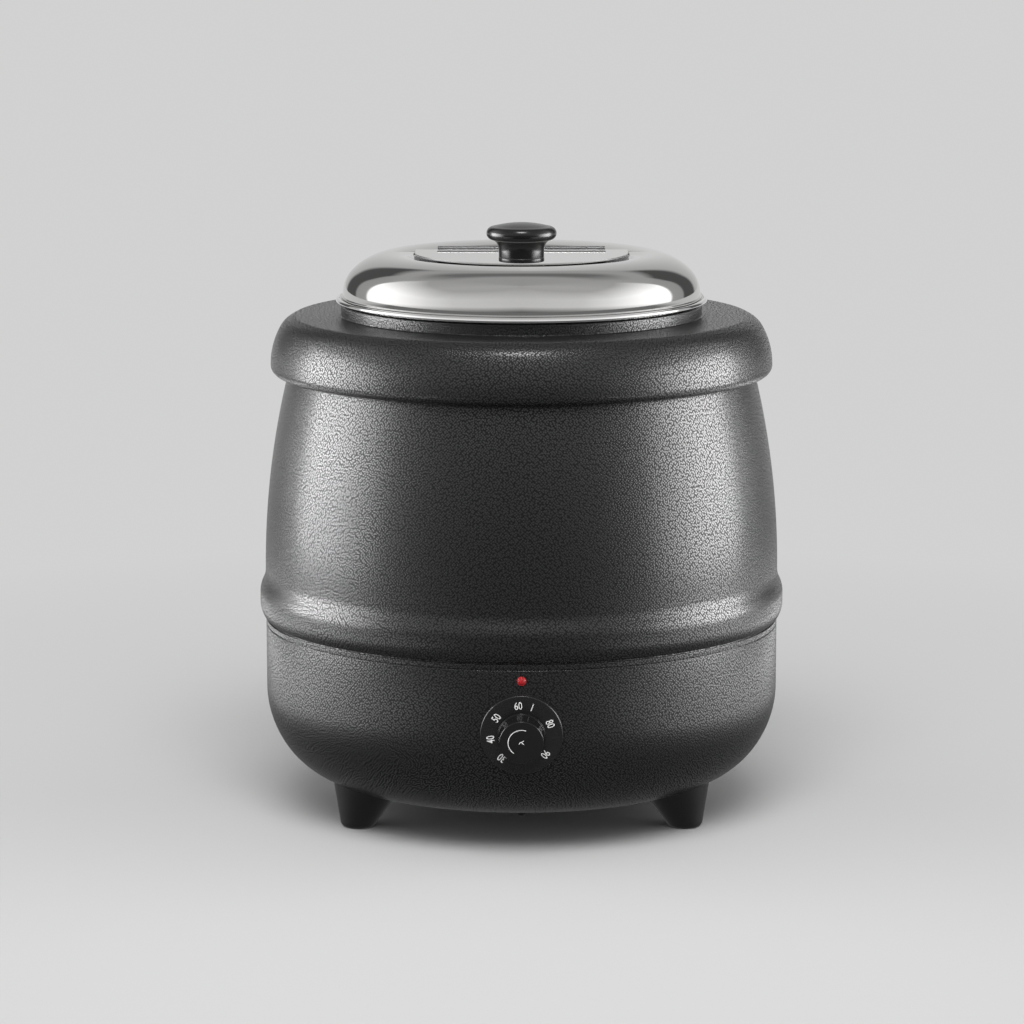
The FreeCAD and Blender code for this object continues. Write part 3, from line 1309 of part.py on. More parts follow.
def foot_screws():
    """Screws from the soles up into the nuts inside the pan."""
    screws = []
    for angle in FOOT_ANGLES.values():
        place = polar(FOOT_SOLE_CIRCLE, angle, 0)
        underside = FOOT_SCREW_RECESS - FOOT_SCREW_HEAD_HEIGHT
        head = rod_at(FOOT_SCREW_HEAD_RADIUS, underside, FOOT_SCREW_RECESS, place)
        screws.append(union([head, rod_at(FOOT_SCREW_RADIUS, FOOT_SCREW_RECESS, FOOT_SCREW_TOP, place)]))
    return Part.makeCompound(screws)


def foot_nuts():
    """Nuts inside the pan, shaped to its corner."""
    nuts = []
    for angle in FOOT_ANGLES.values():
        place = polar(FOOT_SOLE_CIRCLE, angle, 0)
        blank = nut(FOOT_NUT_FLATS, FOOT_SCREW_RADIUS + BUILT_IN_CLEARANCE, 0, FOOT_SCREW_TOP, place)
        nuts.append(blank.common(PAN_INSIDE))
    return Part.makeCompound(nuts)


# Inner leads

def block_start(pole):
    """The first two points of a lead that leaves a pole of the terminal block."""
    along = pole * BLOCK_POLE_PITCH
    port = block_point(along, BLOCK_DEPTH / 2 - BLOCK_PORT_DEPTH + LEAD_END_GAP, BLOCK_PORT_Z)
    return [port, block_point(along, BLOCK_DEPTH / 2 + TAB_LENGTH, BLOCK_PORT_Z)]


def pin_end(side):
    """The last two points of a lead that rises to an element pin."""
    pin = element_leg_place(side) + UP * (ELEMENT_LEG_Z - TERMINAL_PIN_LENGTH - LEAD_END_GAP)
    return [FreeCAD.Vector(pin.x, pin.y, LEAD_Z), pin]


def tab_end(side):
    """The last two points of a lead that rises to a thermostat tab."""
    tip = thermostat_tab_point(side, TAB_LENGTH + LEAD_END_GAP)
    return [thermostat_tab_point(side, 2 * TAB_LENGTH), tip]


def cutout_start(side):
    """The first two points of a lead that hangs from a tab of the cut-out."""
    x = side * CUTOUT_TAB_SPREAD
    top = CUTOUT_END_Z - TAB_LENGTH - LEAD_END_GAP
    return [FreeCAD.Vector(x, 0, top), FreeCAD.Vector(x, 0, top - TAB_LENGTH)]


def swung_points(start, end):
    """Points round the axis between two points, near the first one's circle for most of the way."""
    first = math.atan2(start.y, start.x)
    last = math.atan2(end.y, end.x)
    inner = math.hypot(start.x, start.y)
    outer = math.hypot(end.x, end.y)
    points = []
    for step in range(1, LEAD_STEPS + 1):
        share = step / (LEAD_STEPS + 1)
        ease = share ** 2
        angle = math.degrees(first + share * (last - first))
        points.append(polar(inner + ease * (outer - inner), angle, start.z + ease * (end.z - start.z)))
    return points


def hanging_points(start, end):
    """Points on a sagging line between two points."""
    points = []
    for step in range(1, LEAD_STEPS + 1):
        share = step / (LEAD_STEPS + 1)
        points.append(start + (end - start) * share - UP * (LEAD_SAG * math.sin(math.pi * share)))
    return points


def neutral_lead():
    """From the middle pole to an element pin."""
    return bent_tube(block_start(0) + pin_end(1), LEAD_RADIUS)


def live_lead():
    """From a pole round the right side to the thermostat."""
    start = block_start(-1)
    end = tab_end(1)
    return bent_tube(start + swung_points(start[-1], end[0]) + end, LEAD_RADIUS)


def switched_lead():
    """From the cut-out to the thermostat."""
    start = cutout_start(-1)
    end = tab_end(-1)
    return bent_tube(start + hanging_points(start[-1], end[0]) + end, LEAD_RADIUS)


def element_lead():
    """From the cut-out to the other element pin."""
    start = cutout_start(1)
    end = pin_end(-1)
    return bent_tube(start + hanging_points(start[-1], end[0]) + end, LEAD_RADIUS)


def earth_lead():
    """From a pole round the rear to the earth stud."""
    start = block_start(1)
    reach = BLOCK_CIRCLE - CLAMP_STUD_RADIUS - LEAD_RADIUS
    end = polar(reach, EARTH_ANGLE, EARTH_NUT_Z + LEAD_RADIUS + LEAD_END_GAP)
    return bent_tube(start + swung_points(start[-1], end) + [end], LEAD_RADIUS)


def lamp_leads():
    """From the lamp holder round both sides of the switch box towards its tabs."""
    leads = []
    back = -LENS_TUBE_LENGTH - LAMP_HOLDER_LENGTH - LEAD_END_GAP
    above = THERMOSTAT_HEIGHT / 2 + TAB_LENGTH
    below = -THERMOSTAT_HEIGHT / 2 - 2 * LEAD_RADIUS
    middle = -THERMOSTAT_STANDOFF - THERMOSTAT_DEPTH / 2
    for side in (-1, 1):
        start = LAMP_FRAME.multVec(FreeCAD.Vector(side * BUSH_RADIUS / 2, 0, back))
        inside = side * (THERMOSTAT_WIDTH - TAB_WIDTH) / 2
        outside = side * (THERMOSTAT_WIDTH / 2 + TAB_WIDTH)
        corner = side * (THERMOSTAT_WIDTH / 2 + 2 * LEAD_RADIUS)
        points = [start, start + FreeCAD.Vector(side * BUSH_RADIUS / 2, TAB_WIDTH, 0)]
        points.append(DIAL_FRAME.multVec(FreeCAD.Vector(inside, above, -THERMOSTAT_BACK + TAB_WIDTH)))
        points.append(DIAL_FRAME.multVec(FreeCAD.Vector(outside, above - 2 * BUSH_RADIUS, middle)))
        points.append(DIAL_FRAME.multVec(FreeCAD.Vector(outside, -BUSH_RADIUS, middle)))
        points.append(DIAL_FRAME.multVec(FreeCAD.Vector(corner, below, -THERMOSTAT_BACK + TAB_LENGTH)))
        edge = side * (TAB_SPREAD + TAB_WIDTH / 2 + LEAD_RADIUS)
        points.append(thermostat_tab_point(side, TAB_LENGTH / 2) + X_AXIS * (edge - side * TAB_SPREAD))
        leads.append(bent_tube(points, LEAD_RADIUS / 2))
    return Part.makeCompound(leads)


NODES = {
    "collar_ring": collar_ring,
    "barrel_shell": barrel_shell,
    "base_pan": base_pan,
    "water_well": water_well,
    "inner_pot": inner_pot,
    "lid_dome": lid_dome,
    "lid_flap": lid_flap,
    "hinge_fixed_leaf": hinge_fixed_leaf,
    "hinge_moving_leaf": hinge_moving_leaf,
    "hinge_pin": hinge_pin,
    "fixed_leaf_rivets": fixed_leaf_rivets,
    "moving_leaf_rivets": moving_leaf_rivets,
    "lid_knob": lid_knob,
    "knob_ring": knob_ring,
    "knob_screw": knob_screw,
    "dial_plate": dial_plate,
    "dial_knob": dial_knob,
    "dial_shaft": dial_shaft,
    "thermostat_body": thermostat_body,
    "thermostat_nut": thermostat_nut,
    "sensor_bulb": sensor_bulb,
    "bulb_clips": bulb_clips,
    "capillary_tube": capillary_tube,
    "lamp_lens": lamp_lens,
    "lamp_holder": lamp_holder,
    "lamp_push_nut": lamp_push_nut,
    "heating_element": heating_element,
    "element_terminals": element_terminals,
    "element_insulators": element_insulators,
    "element_clamp_plate": element_clamp_plate,
    "clamp_studs": clamp_studs,
    "clamp_nuts": clamp_nuts,
    "heat_shield": heat_shield,
    "shield_spacers": shield_spacers,
    "shield_nuts": shield_nuts,
    "thermal_cutout": thermal_cutout,
    "tie_rods": tie_rods,
    "tie_washers": tie_washers,
    "tie_nuts": tie_nuts,
    "bottom_plate": bottom_plate,
    "bottom_plate_screws": bottom_plate_screws,
    "terminal_block": terminal_block,
    "terminal_block_screws": terminal_block_screws,
    "earth_stud": earth_stud,
    "earth_nut": earth_nut,
    "cable_gland": cable_gland,
    "gland_nut": gland_nut,
    "foot_screws": foot_screws,
    "foot_nuts": foot_nuts,
    "neutral_lead": neutral_lead,
    "live_lead": live_lead,
    "switched_lead": switched_lead,
    "element_lead": element_lead,
    "earth_lead": earth_lead,
    "lamp_leads": lamp_leads,
}

os.makedirs("parts", exist_ok=True)
for name, build in NODES.items():
    build().exportStep(os.path.join("parts", name + ".step"))
for corner, angle in FOOT_ANGLES.items():
    foot(angle).exportStep(os.path.join("parts", corner + "_foot.step"))
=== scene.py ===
"""Soup kettle: the finished pieces, their surfaces and the studio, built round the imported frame.

Lengths of the kettle are millimetres, as on its drawing, and meshes are written in metres.
Lengths of the studio are metres.
"""
from __future__ import annotations

import json
import logging
import math
from dataclasses import dataclass
from enum import Enum
from typing import Callable, Sequence

import bmesh
import bpy
from bpy.types import Material, Mesh, Node, NodeSocket, NodeTree, Object, World
from mathutils import Matrix, Vector

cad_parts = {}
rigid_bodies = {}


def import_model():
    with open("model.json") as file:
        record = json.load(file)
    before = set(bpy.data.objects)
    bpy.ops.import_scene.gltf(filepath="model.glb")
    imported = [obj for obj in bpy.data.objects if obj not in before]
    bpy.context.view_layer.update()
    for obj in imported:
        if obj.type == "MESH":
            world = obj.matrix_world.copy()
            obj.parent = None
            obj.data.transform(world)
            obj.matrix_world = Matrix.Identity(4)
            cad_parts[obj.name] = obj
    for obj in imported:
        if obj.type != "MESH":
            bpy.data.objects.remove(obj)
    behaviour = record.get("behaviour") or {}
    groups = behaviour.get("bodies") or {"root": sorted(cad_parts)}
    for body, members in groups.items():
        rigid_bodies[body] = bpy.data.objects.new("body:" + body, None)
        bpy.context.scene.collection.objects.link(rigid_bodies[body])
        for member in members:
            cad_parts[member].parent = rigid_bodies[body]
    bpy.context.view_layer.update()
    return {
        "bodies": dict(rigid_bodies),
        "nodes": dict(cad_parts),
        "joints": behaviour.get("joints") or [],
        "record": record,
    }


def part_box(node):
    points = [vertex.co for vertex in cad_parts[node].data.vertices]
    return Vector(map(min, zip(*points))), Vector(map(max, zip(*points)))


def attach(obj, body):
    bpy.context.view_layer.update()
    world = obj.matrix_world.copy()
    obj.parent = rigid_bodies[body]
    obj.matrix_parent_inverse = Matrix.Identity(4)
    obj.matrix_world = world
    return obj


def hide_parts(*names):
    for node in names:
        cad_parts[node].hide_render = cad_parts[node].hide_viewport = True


MM = 0.001
FULL_TURN = 2.0 * math.pi
QUARTER_TURN = math.pi / 2
CHORD_ERROR = 0.015
LARGEST_STEP = math.radians(9.0)
SOFTENED_TURN = math.radians(20.0)
SHORT_EDGE_SHARE = 0.45
SHARP_EDGE = math.radians(38.0)
MERGE_DISTANCE = 1e-6
RUN_NAME = "run"
MAP_NAME = "flat_map"
DIAL_JOINT = "dial_turn"
LAMP_POWER = 4.0
NO_LIGHT = (0.0, 0.0, 0.0)
STARTUP_OBJECTS = ("Cube", "Light", "Camera")

log = logging.getLogger("soup_kettle")

Point = tuple[float, float]
Spot = tuple[float, float, float]
Colour = tuple[float, float, float]


class Body(Enum):
    """The frame's bodies that carry pieces."""

    KETTLE = "kettle_body"
    LID = "lid"
    FLAP = "flap"
    DIAL = "dial"


class Socket(Enum):
    """Types of a node group's sockets."""

    NUMBER = "NodeSocketFloat"
    COUNT = "NodeSocketInt"
    VECTOR = "NodeSocketVector"
    SHAPE = "NodeSocketGeometry"
    SURFACE = "NodeSocketMaterial"


class Tree(Enum):
    """Types of node groups."""

    SHADER = "ShaderNodeTree"
    SHAPE = "GeometryNodeTree"


# Outlines in the plane of radius and height

class Outline:
    """An open outline drawn from point to point."""

    def __init__(self, radius: float, height: float) -> None:
        """Start at a point."""
        self.points: list[Point] = [(radius, height)]

    def line(self, radius: float, height: float) -> Outline:
        """Draw a straight edge to a point."""
        return self.lines((radius, height))

    def lines(self, *corners: Point) -> Outline:
        """Draw straight edges from corner to corner."""
        self.points += corners
        return self

    def arc(self, centre_radius: float, centre_height: float, radius: float, height: float) -> Outline:
        """Draw the shorter arc about a centre to a point.

        Args:
            centre_radius: radius of the arc's centre.
            centre_height: height of the arc's centre.
            radius: radius of the arc's end.
            height: height of the arc's end.

        Returns:
            The outline itself.
        """
        last_radius, last_height = self.points[-1]
        bend = math.hypot(last_radius - centre_radius, last_height - centre_height)
        first = math.atan2(last_height - centre_height, last_radius - centre_radius)
        turn = math.atan2(height - centre_height, radius - centre_radius) - first
        turn = (turn + math.pi) % FULL_TURN - math.pi
        step = min(LARGEST_STEP, 2.0 * math.acos(1.0 - min(CHORD_ERROR / bend, 1.0)))
        count = max(2, math.ceil(abs(turn) / step))
        for index in range(1, count):
            angle = first + turn * index / count
            self.line(centre_radius + bend * math.cos(angle), centre_height + bend * math.sin(angle))
        return self.line(radius, height)


class Corner:
    """Two tangent arcs between an upright wall and a level face, above it or below it."""

    def __init__(self, wall: float, level: float, run: float, rise: float, turn: float, side: int) -> None:
        """Work out both arcs.

        Args:
            wall: radius of the wall.
            level: height of the level face.
            run: how far in from the wall the level face begins.
            rise: how far from the level face the wall ends.
            turn: degrees that the wall's arc turns through.
            side: +1 where the level face is above the wall, -1 where it is below.
        """
        sine, cosine = math.sin(math.radians(turn)), math.cos(math.radians(turn))
        excess = 1.0 - cosine - sine
        self.side, self.wall, self.level, self.sine, self.cosine = side, wall, level, sine, cosine
        self.wall_bend = (run * (1.0 - sine) - rise * cosine) / excess
        self.level_bend = (rise * (1.0 - cosine) - run * sine) / excess
        self.wall_centre = (wall - self.wall_bend, level - side * rise)
        self.level_centre = (wall - run, level - side * self.level_bend)

    def wall_point(self, inset: float) -> Point:
        """Where the wall ends."""
        return self.wall - inset, self.wall_centre[1]

    def joint(self, inset: float) -> Point:
        """Where the two arcs meet."""
        bend = self.wall_bend - inset
        return self.wall_centre[0] + bend * self.cosine, self.wall_centre[1] + self.side * bend * self.sine

    def level_point(self, inset: float) -> Point:
        """Where the level face begins."""
        return self.level_centre[0], self.level - self.side * inset

    def to_level(self, outline: Outline, inset: float) -> Outline:
        """Draw from the end of the wall to the level face."""
        outline.arc(*self.wall_centre, *self.joint(inset))
        return outline.arc(*self.level_centre, *self.level_point(inset))

    def to_wall(self, outline: Outline, inset: float) -> Outline:
        """Draw from the level face to the end of the wall."""
        outline.arc(*self.level_centre, *self.joint(inset))
        return outline.arc(*self.wall_centre, *self.wall_point(inset))


def softened(points: Sequence[Point], bend: float) -> list[Point]:
    """Round the sharp corners of a closed outline.

    Args:
        points: the outline's corners in order.
        bend: radius of the rounding, smaller where an edge is short.

    Returns:
        The outline with small arcs at its sharp corners.
    """
    result: list[Point] = []
    count = len(points)
    for index, corner in enumerate(points):
        here = Vector(corner)
        back = Vector(points[index - 1]) - here
        ahead = Vector(points[(index + 1) % count]) - here
        turn = math.pi - back.angle(ahead, math.pi)
        if turn < SOFTENED_TURN:
            result.append(corner)
            continue
        reach = min(bend * math.tan(turn / 2), SHORT_EDGE_SHARE * back.length, SHORT_EDGE_SHARE * ahead.length)
        enter, leave = here + back.normalized() * reach, here + ahead.normalized() * reach
        steps = max(2, math.ceil(turn / LARGEST_STEP / 2))
        for step in range(steps + 1):
            share = step / steps
            spot = enter * (1 - share) ** 2 + here * (2 * share * (1 - share)) + leave * share ** 2
            result.append((spot.x, spot.y))
    return result


def sheet_loop(outline: Callable[[float], Outline], wall: float, edge_bend: float) -> list[Point]:
    """The closed section of a bent sheet between an outline and its inset copy."""
    return softened(outline(0.0).points + outline(wall).points[::-1], edge_bend)


# Objects, meshes and moves

def in_scene(name: str, data: bpy.types.ID) -> Object:
    """Put a new object in the scene's own collection.

    Args:
        name: the object's name.
        data: its mesh, curve, lamp or camera.

    Returns:
        The new object.
    """
    made = bpy.data.objects.new(name, data)
    bpy.context.scene.collection.objects.link(made)
    return made


def plain_mesh(holder: Object) -> Mesh:
    """An object's mesh with its modifiers worked in."""
    return bpy.data.meshes.new_from_object(holder.evaluated_get(bpy.context.evaluated_depsgraph_get()))


def moved(x: float, y: float, z: float) -> Matrix:
    """A move by millimetres."""
    return Matrix.Translation(Vector((x, y, z)) * MM)


# Node trees

class Wiring:
    """Short calls that add and join nodes in one tree."""

    def __init__(self, tree: NodeTree) -> None:
        """Take the tree to work in."""
        self.tree = tree

    def add(self, kind: str, inputs: dict | None = None, **settings: object) -> Node:
        """Add a node.

        Args:
            kind: the node's type name.
            inputs: values or sockets for its inputs, by name or number.
            settings: the node's own properties.

        Returns:
            The new node.
        """
        node = self.tree.nodes.new(kind)
        for name, value in settings.items():
            setattr(node, name, value)
        for key, value in (inputs or {}).items():
            self.put(node.inputs[key], value)
        return node

    def out(self, kind: str, inputs: dict | None = None, output: str | int = 0, **settings: object) -> NodeSocket:
        """One output of a new node."""
        return self.add(kind, inputs, **settings).outputs[output]

    def put(self, socket: NodeSocket, value: object) -> None:
        """Give an input a plain value, or join a socket to it.

        Args:
            socket: the input.
            value: a socket, or a number, vector or colour.
        """
        if isinstance(value, NodeSocket):
            self.tree.links.new(value, socket)
        elif isinstance(value, tuple) and len(value) == 3 and socket.type == "RGBA":
            socket.default_value = (*value, 1.0)
        else:
            socket.default_value = value

    def math(self, operation: str, first: object, second: object = 0.0) -> NodeSocket:
        """The result of one sum on two numbers."""
        return self.out("ShaderNodeMath", {0: first, 1: second}, operation=operation)

    def plus(self, first: object, second: object) -> NodeSocket:
        """Two numbers added."""
        return self.math("ADD", first, second)

    def less(self, first: object, second: object) -> NodeSocket:
        """A number less another."""
        return self.math("SUBTRACT", first, second)

    def times(self, first: object, second: object) -> NodeSocket:
        """Two numbers multiplied."""
        return self.math("MULTIPLY", first, second)

    def over(self, first: object, second: object) -> NodeSocket:
        """A number divided by another."""
        return self.math("DIVIDE", first, second)

    def size(self, value: object) -> NodeSocket:
        """A number without its sign."""
        return self.math("ABSOLUTE", value)

    def between(self, value: object, start: object, end: object, low: object, high: object) -> NodeSocket:
        """A value from start to end spread over low to high, and held there outside."""
        inputs = {0: value, 1: start, 2: end, 3: low, 4: high}
        return self.out("ShaderNodeMapRange", inputs, clamp=True)

    def spread(self, value: object, low: float, high: float) -> NodeSocket:
        """A value from 0 to 1 spread over another range."""
        return self.between(value, 0.0, 1.0, low, high)

    def share(self, value: object, start: object, end: object) -> NodeSocket:
        """How far a value is from start to end, as 0 to 1."""
        return self.between(value, start, end, 0.0, 1.0)

    def blend(self, share: object, first: object, second: object) -> NodeSocket:
        """A colour between two colours."""
        return self.out("ShaderNodeMix", {0: share, 6: first, 7: second}, 2, data_type="RGBA")


def cleared(owner: Material | World) -> Wiring:
    """Empty the node tree of a material or of the world.

    Args:
        owner: the material or the world.

    Returns:
        The wiring of its tree.
    """
    owner.use_nodes = True
    owner.node_tree.nodes.clear()
    return Wiring(owner.node_tree)


def new_tree(
    name: str, kind: Tree, inputs: dict[str, Socket], outputs: dict[str, Socket],
) -> tuple[Wiring, dict[str, NodeSocket], dict[str, NodeSocket]]:
    """Start a node group.

    Args:
        name: the group's name.
        kind: the group's type.
        inputs: types of the inputs, by name.
        outputs: types of the outputs, by name.

    Returns:
        The wiring of the new tree, its incoming sockets and its outgoing sockets, by name.
    """
    tree = bpy.data.node_groups.new(name, kind.value)
    for direction, sockets in (("INPUT", inputs), ("OUTPUT", outputs)):
        for label, socket in sockets.items():
            tree.interface.new_socket(label, in_out=direction, socket_type=socket.value)
    wiring = Wiring(tree)
    incoming = wiring.add("NodeGroupInput").outputs
    outgoing = wiring.add("NodeGroupOutput").inputs
    return wiring, {label: incoming[label] for label in inputs}, {label: outgoing[label] for label in outputs}


# Shapes that follow a rule, as geometry nodes

class ShapeRule:
    """A geometry node tree that makes a mesh from a small start mesh."""

    name = "shape_rule"
    inputs: dict[str, Socket] = {}

    def __init__(self) -> None:
        """Build the tree: the shape, then Realize Instances and Set Material."""
        sockets = {"Geometry": Socket.SHAPE, **self.inputs, "Material": Socket.SURFACE}
        self.wiring, self.incoming, outgoing = new_tree(
            self.name, Tree.SHAPE, sockets, {"Geometry": Socket.SHAPE})
        self.wiring.tree.is_modifier = True
        whole = self.wiring.out("GeometryNodeRealizeInstances", {0: self.shape()})
        dressed = {"Geometry": whole, "Material": self.incoming["Material"]}
        self.wiring.put(outgoing["Geometry"], self.wiring.out("GeometryNodeSetMaterial", dressed))

    def shape(self) -> NodeSocket:
        """The geometry before it is realised and dressed."""
        raise NotImplementedError

    def apply(self, start: Mesh, material: Material, **values: object) -> Mesh:
        """Run the tree on a start mesh.

        Args:
            start: the mesh that the tree reads.
            material: the surface of the result.
            values: the tree's own inputs, by name.

        Returns:
            A plain mesh.
        """
        holder = in_scene(self.name, start)
        modifier = holder.modifiers.new(self.name, "NODES")
        modifier.node_group = self.wiring.tree
        wanted = {**values, "Material": material}
        for item in self.wiring.tree.interface.items_tree:
            if item.in_out == "INPUT" and item.name in wanted:
                modifier[item.identifier] = wanted[item.name]
        mesh = plain_mesh(holder)
        holder.modifiers.remove(modifier)
        bpy.data.objects.remove(holder)
        bpy.data.meshes.remove(start)
        return mesh


class Turned(ShapeRule):
    """Turns an outline round the vertical axis: one ring of points for each corner of the outline.

    The shell carries a flat map of itself: the way round the axis, and the way along the outline.
    """

    name = "turned_shell"
    inputs = {"Segments": Socket.COUNT, "Girth": Socket.NUMBER}

    def read(self, value: NodeSocket, row: NodeSocket, kind: str) -> NodeSocket:
        """A value at the outline's point for a row."""
        reading = {"Geometry": self.incoming["Geometry"], "Value": value, "Index": row}
        return self.wiring.out("GeometryNodeSampleIndex", reading, data_type=kind)

    def wrapped(self, row: NodeSocket, angle: NodeSocket) -> NodeSocket:
        """Where a grid point goes.

        Args:
            row: number of the grid point's row.
            angle: its way round the axis.

        Returns:
            The place, at the radius and height of the row's outline point.
        """
        wiring = self.wiring
        corner = self.read(wiring.out("GeometryNodeInputPosition"), row, "FLOAT_VECTOR")
        radius, _, height = wiring.add("ShaderNodeSeparateXYZ", {0: corner}).outputs
        across, depth = (wiring.times(radius, wiring.math(name, angle)) for name in ("COSINE", "SINE"))
        return wiring.out("ShaderNodeCombineXYZ", {"X": across, "Y": depth, "Z": height})

    def mapped(self, shell: NodeSocket, row: NodeSocket, turn: NodeSocket) -> NodeSocket:
        """Store the flat map on the shell.

        Args:
            shell: the wrapped grid.
            row: number of a grid point's row.
            turn: a grid point's way round the axis.

        Returns:
            The shell with its map.
        """
        wiring = self.wiring
        named = wiring.out("GeometryNodeInputNamedAttribute", {"Name": RUN_NAME}, data_type="FLOAT")
        way = self.read(named, row, "FLOAT")
        flat = wiring.out("ShaderNodeCombineXYZ", {"X": wiring.times(turn, self.incoming["Girth"]), "Y": way})
        flat = wiring.out("GeometryNodeFieldOnDomain", {0: flat}, data_type="FLOAT_VECTOR", domain="POINT")
        stored = {"Geometry": shell, "Name": MAP_NAME, "Value": flat}
        return wiring.out("GeometryNodeStoreNamedAttribute", stored, data_type="FLOAT2", domain="CORNER")

    def shape(self) -> NodeSocket:
        """Wrap a grid round the axis, close it and shade it smooth between its sharp edges.

        Returns:
            The shell.
        """
        wiring, segments = self.wiring, self.incoming["Segments"]
        outline = {"Geometry": self.incoming["Geometry"]}
        corners = wiring.out("GeometryNodeAttributeDomainSize", outline, "Point Count")
        spots = {"Vertices X": wiring.plus(segments, 1.0), "Vertices Y": corners}
        grid = wiring.out("GeometryNodeMeshGrid", spots, "Mesh")
        index = wiring.out("GeometryNodeInputIndex")
        row = wiring.math("MODULO", index, corners)
        column = wiring.math("FLOOR", wiring.over(index, corners))
        turn = wiring.over(wiring.times(column, FULL_TURN), segments)
        place = self.wrapped(row, wiring.plus(turn, QUARTER_TURN))
        shell = wiring.out("GeometryNodeSetPosition", {"Geometry": grid, "Position": place})
        shell = self.mapped(shell, row, turn)
        shell = wiring.out("GeometryNodeMergeByDistance", {"Geometry": shell, "Distance": MERGE_DISTANCE})
        smooth = {"Geometry": shell, "Shade Smooth": True}
        shell = wiring.out("GeometryNodeSetShadeSmooth", smooth, domain="FACE")
        bend = wiring.out("GeometryNodeInputMeshEdgeAngle", None, "Unsigned Angle")
        sharp = wiring.math("GREATER_THAN", bend, SHARP_EDGE)
        creased = {"Geometry": shell, "Selection": sharp, "Shade Smooth": False}
        return wiring.out("GeometryNodeSetShadeSmooth", creased, domain="EDGE")


class Row(ShapeRule):
    """Repeats a small piece along a straight line."""

    name = "row_of_pieces"
    inputs = {"Count": Socket.COUNT, "Step": Socket.VECTOR}

    def shape(self) -> NodeSocket:
        """Set copies of the piece at even steps.

        Returns:
            The copies.
        """
        spots = {"Count": self.incoming["Count"], "Offset": self.incoming["Step"]}
        line = self.wiring.out("GeometryNodeMeshLine", spots, mode="OFFSET")
        copies = {"Points": line, "Instance": self.incoming["Geometry"]}
        return self.wiring.out("GeometryNodeInstanceOnPoints", copies)


# Effects that several surfaces share

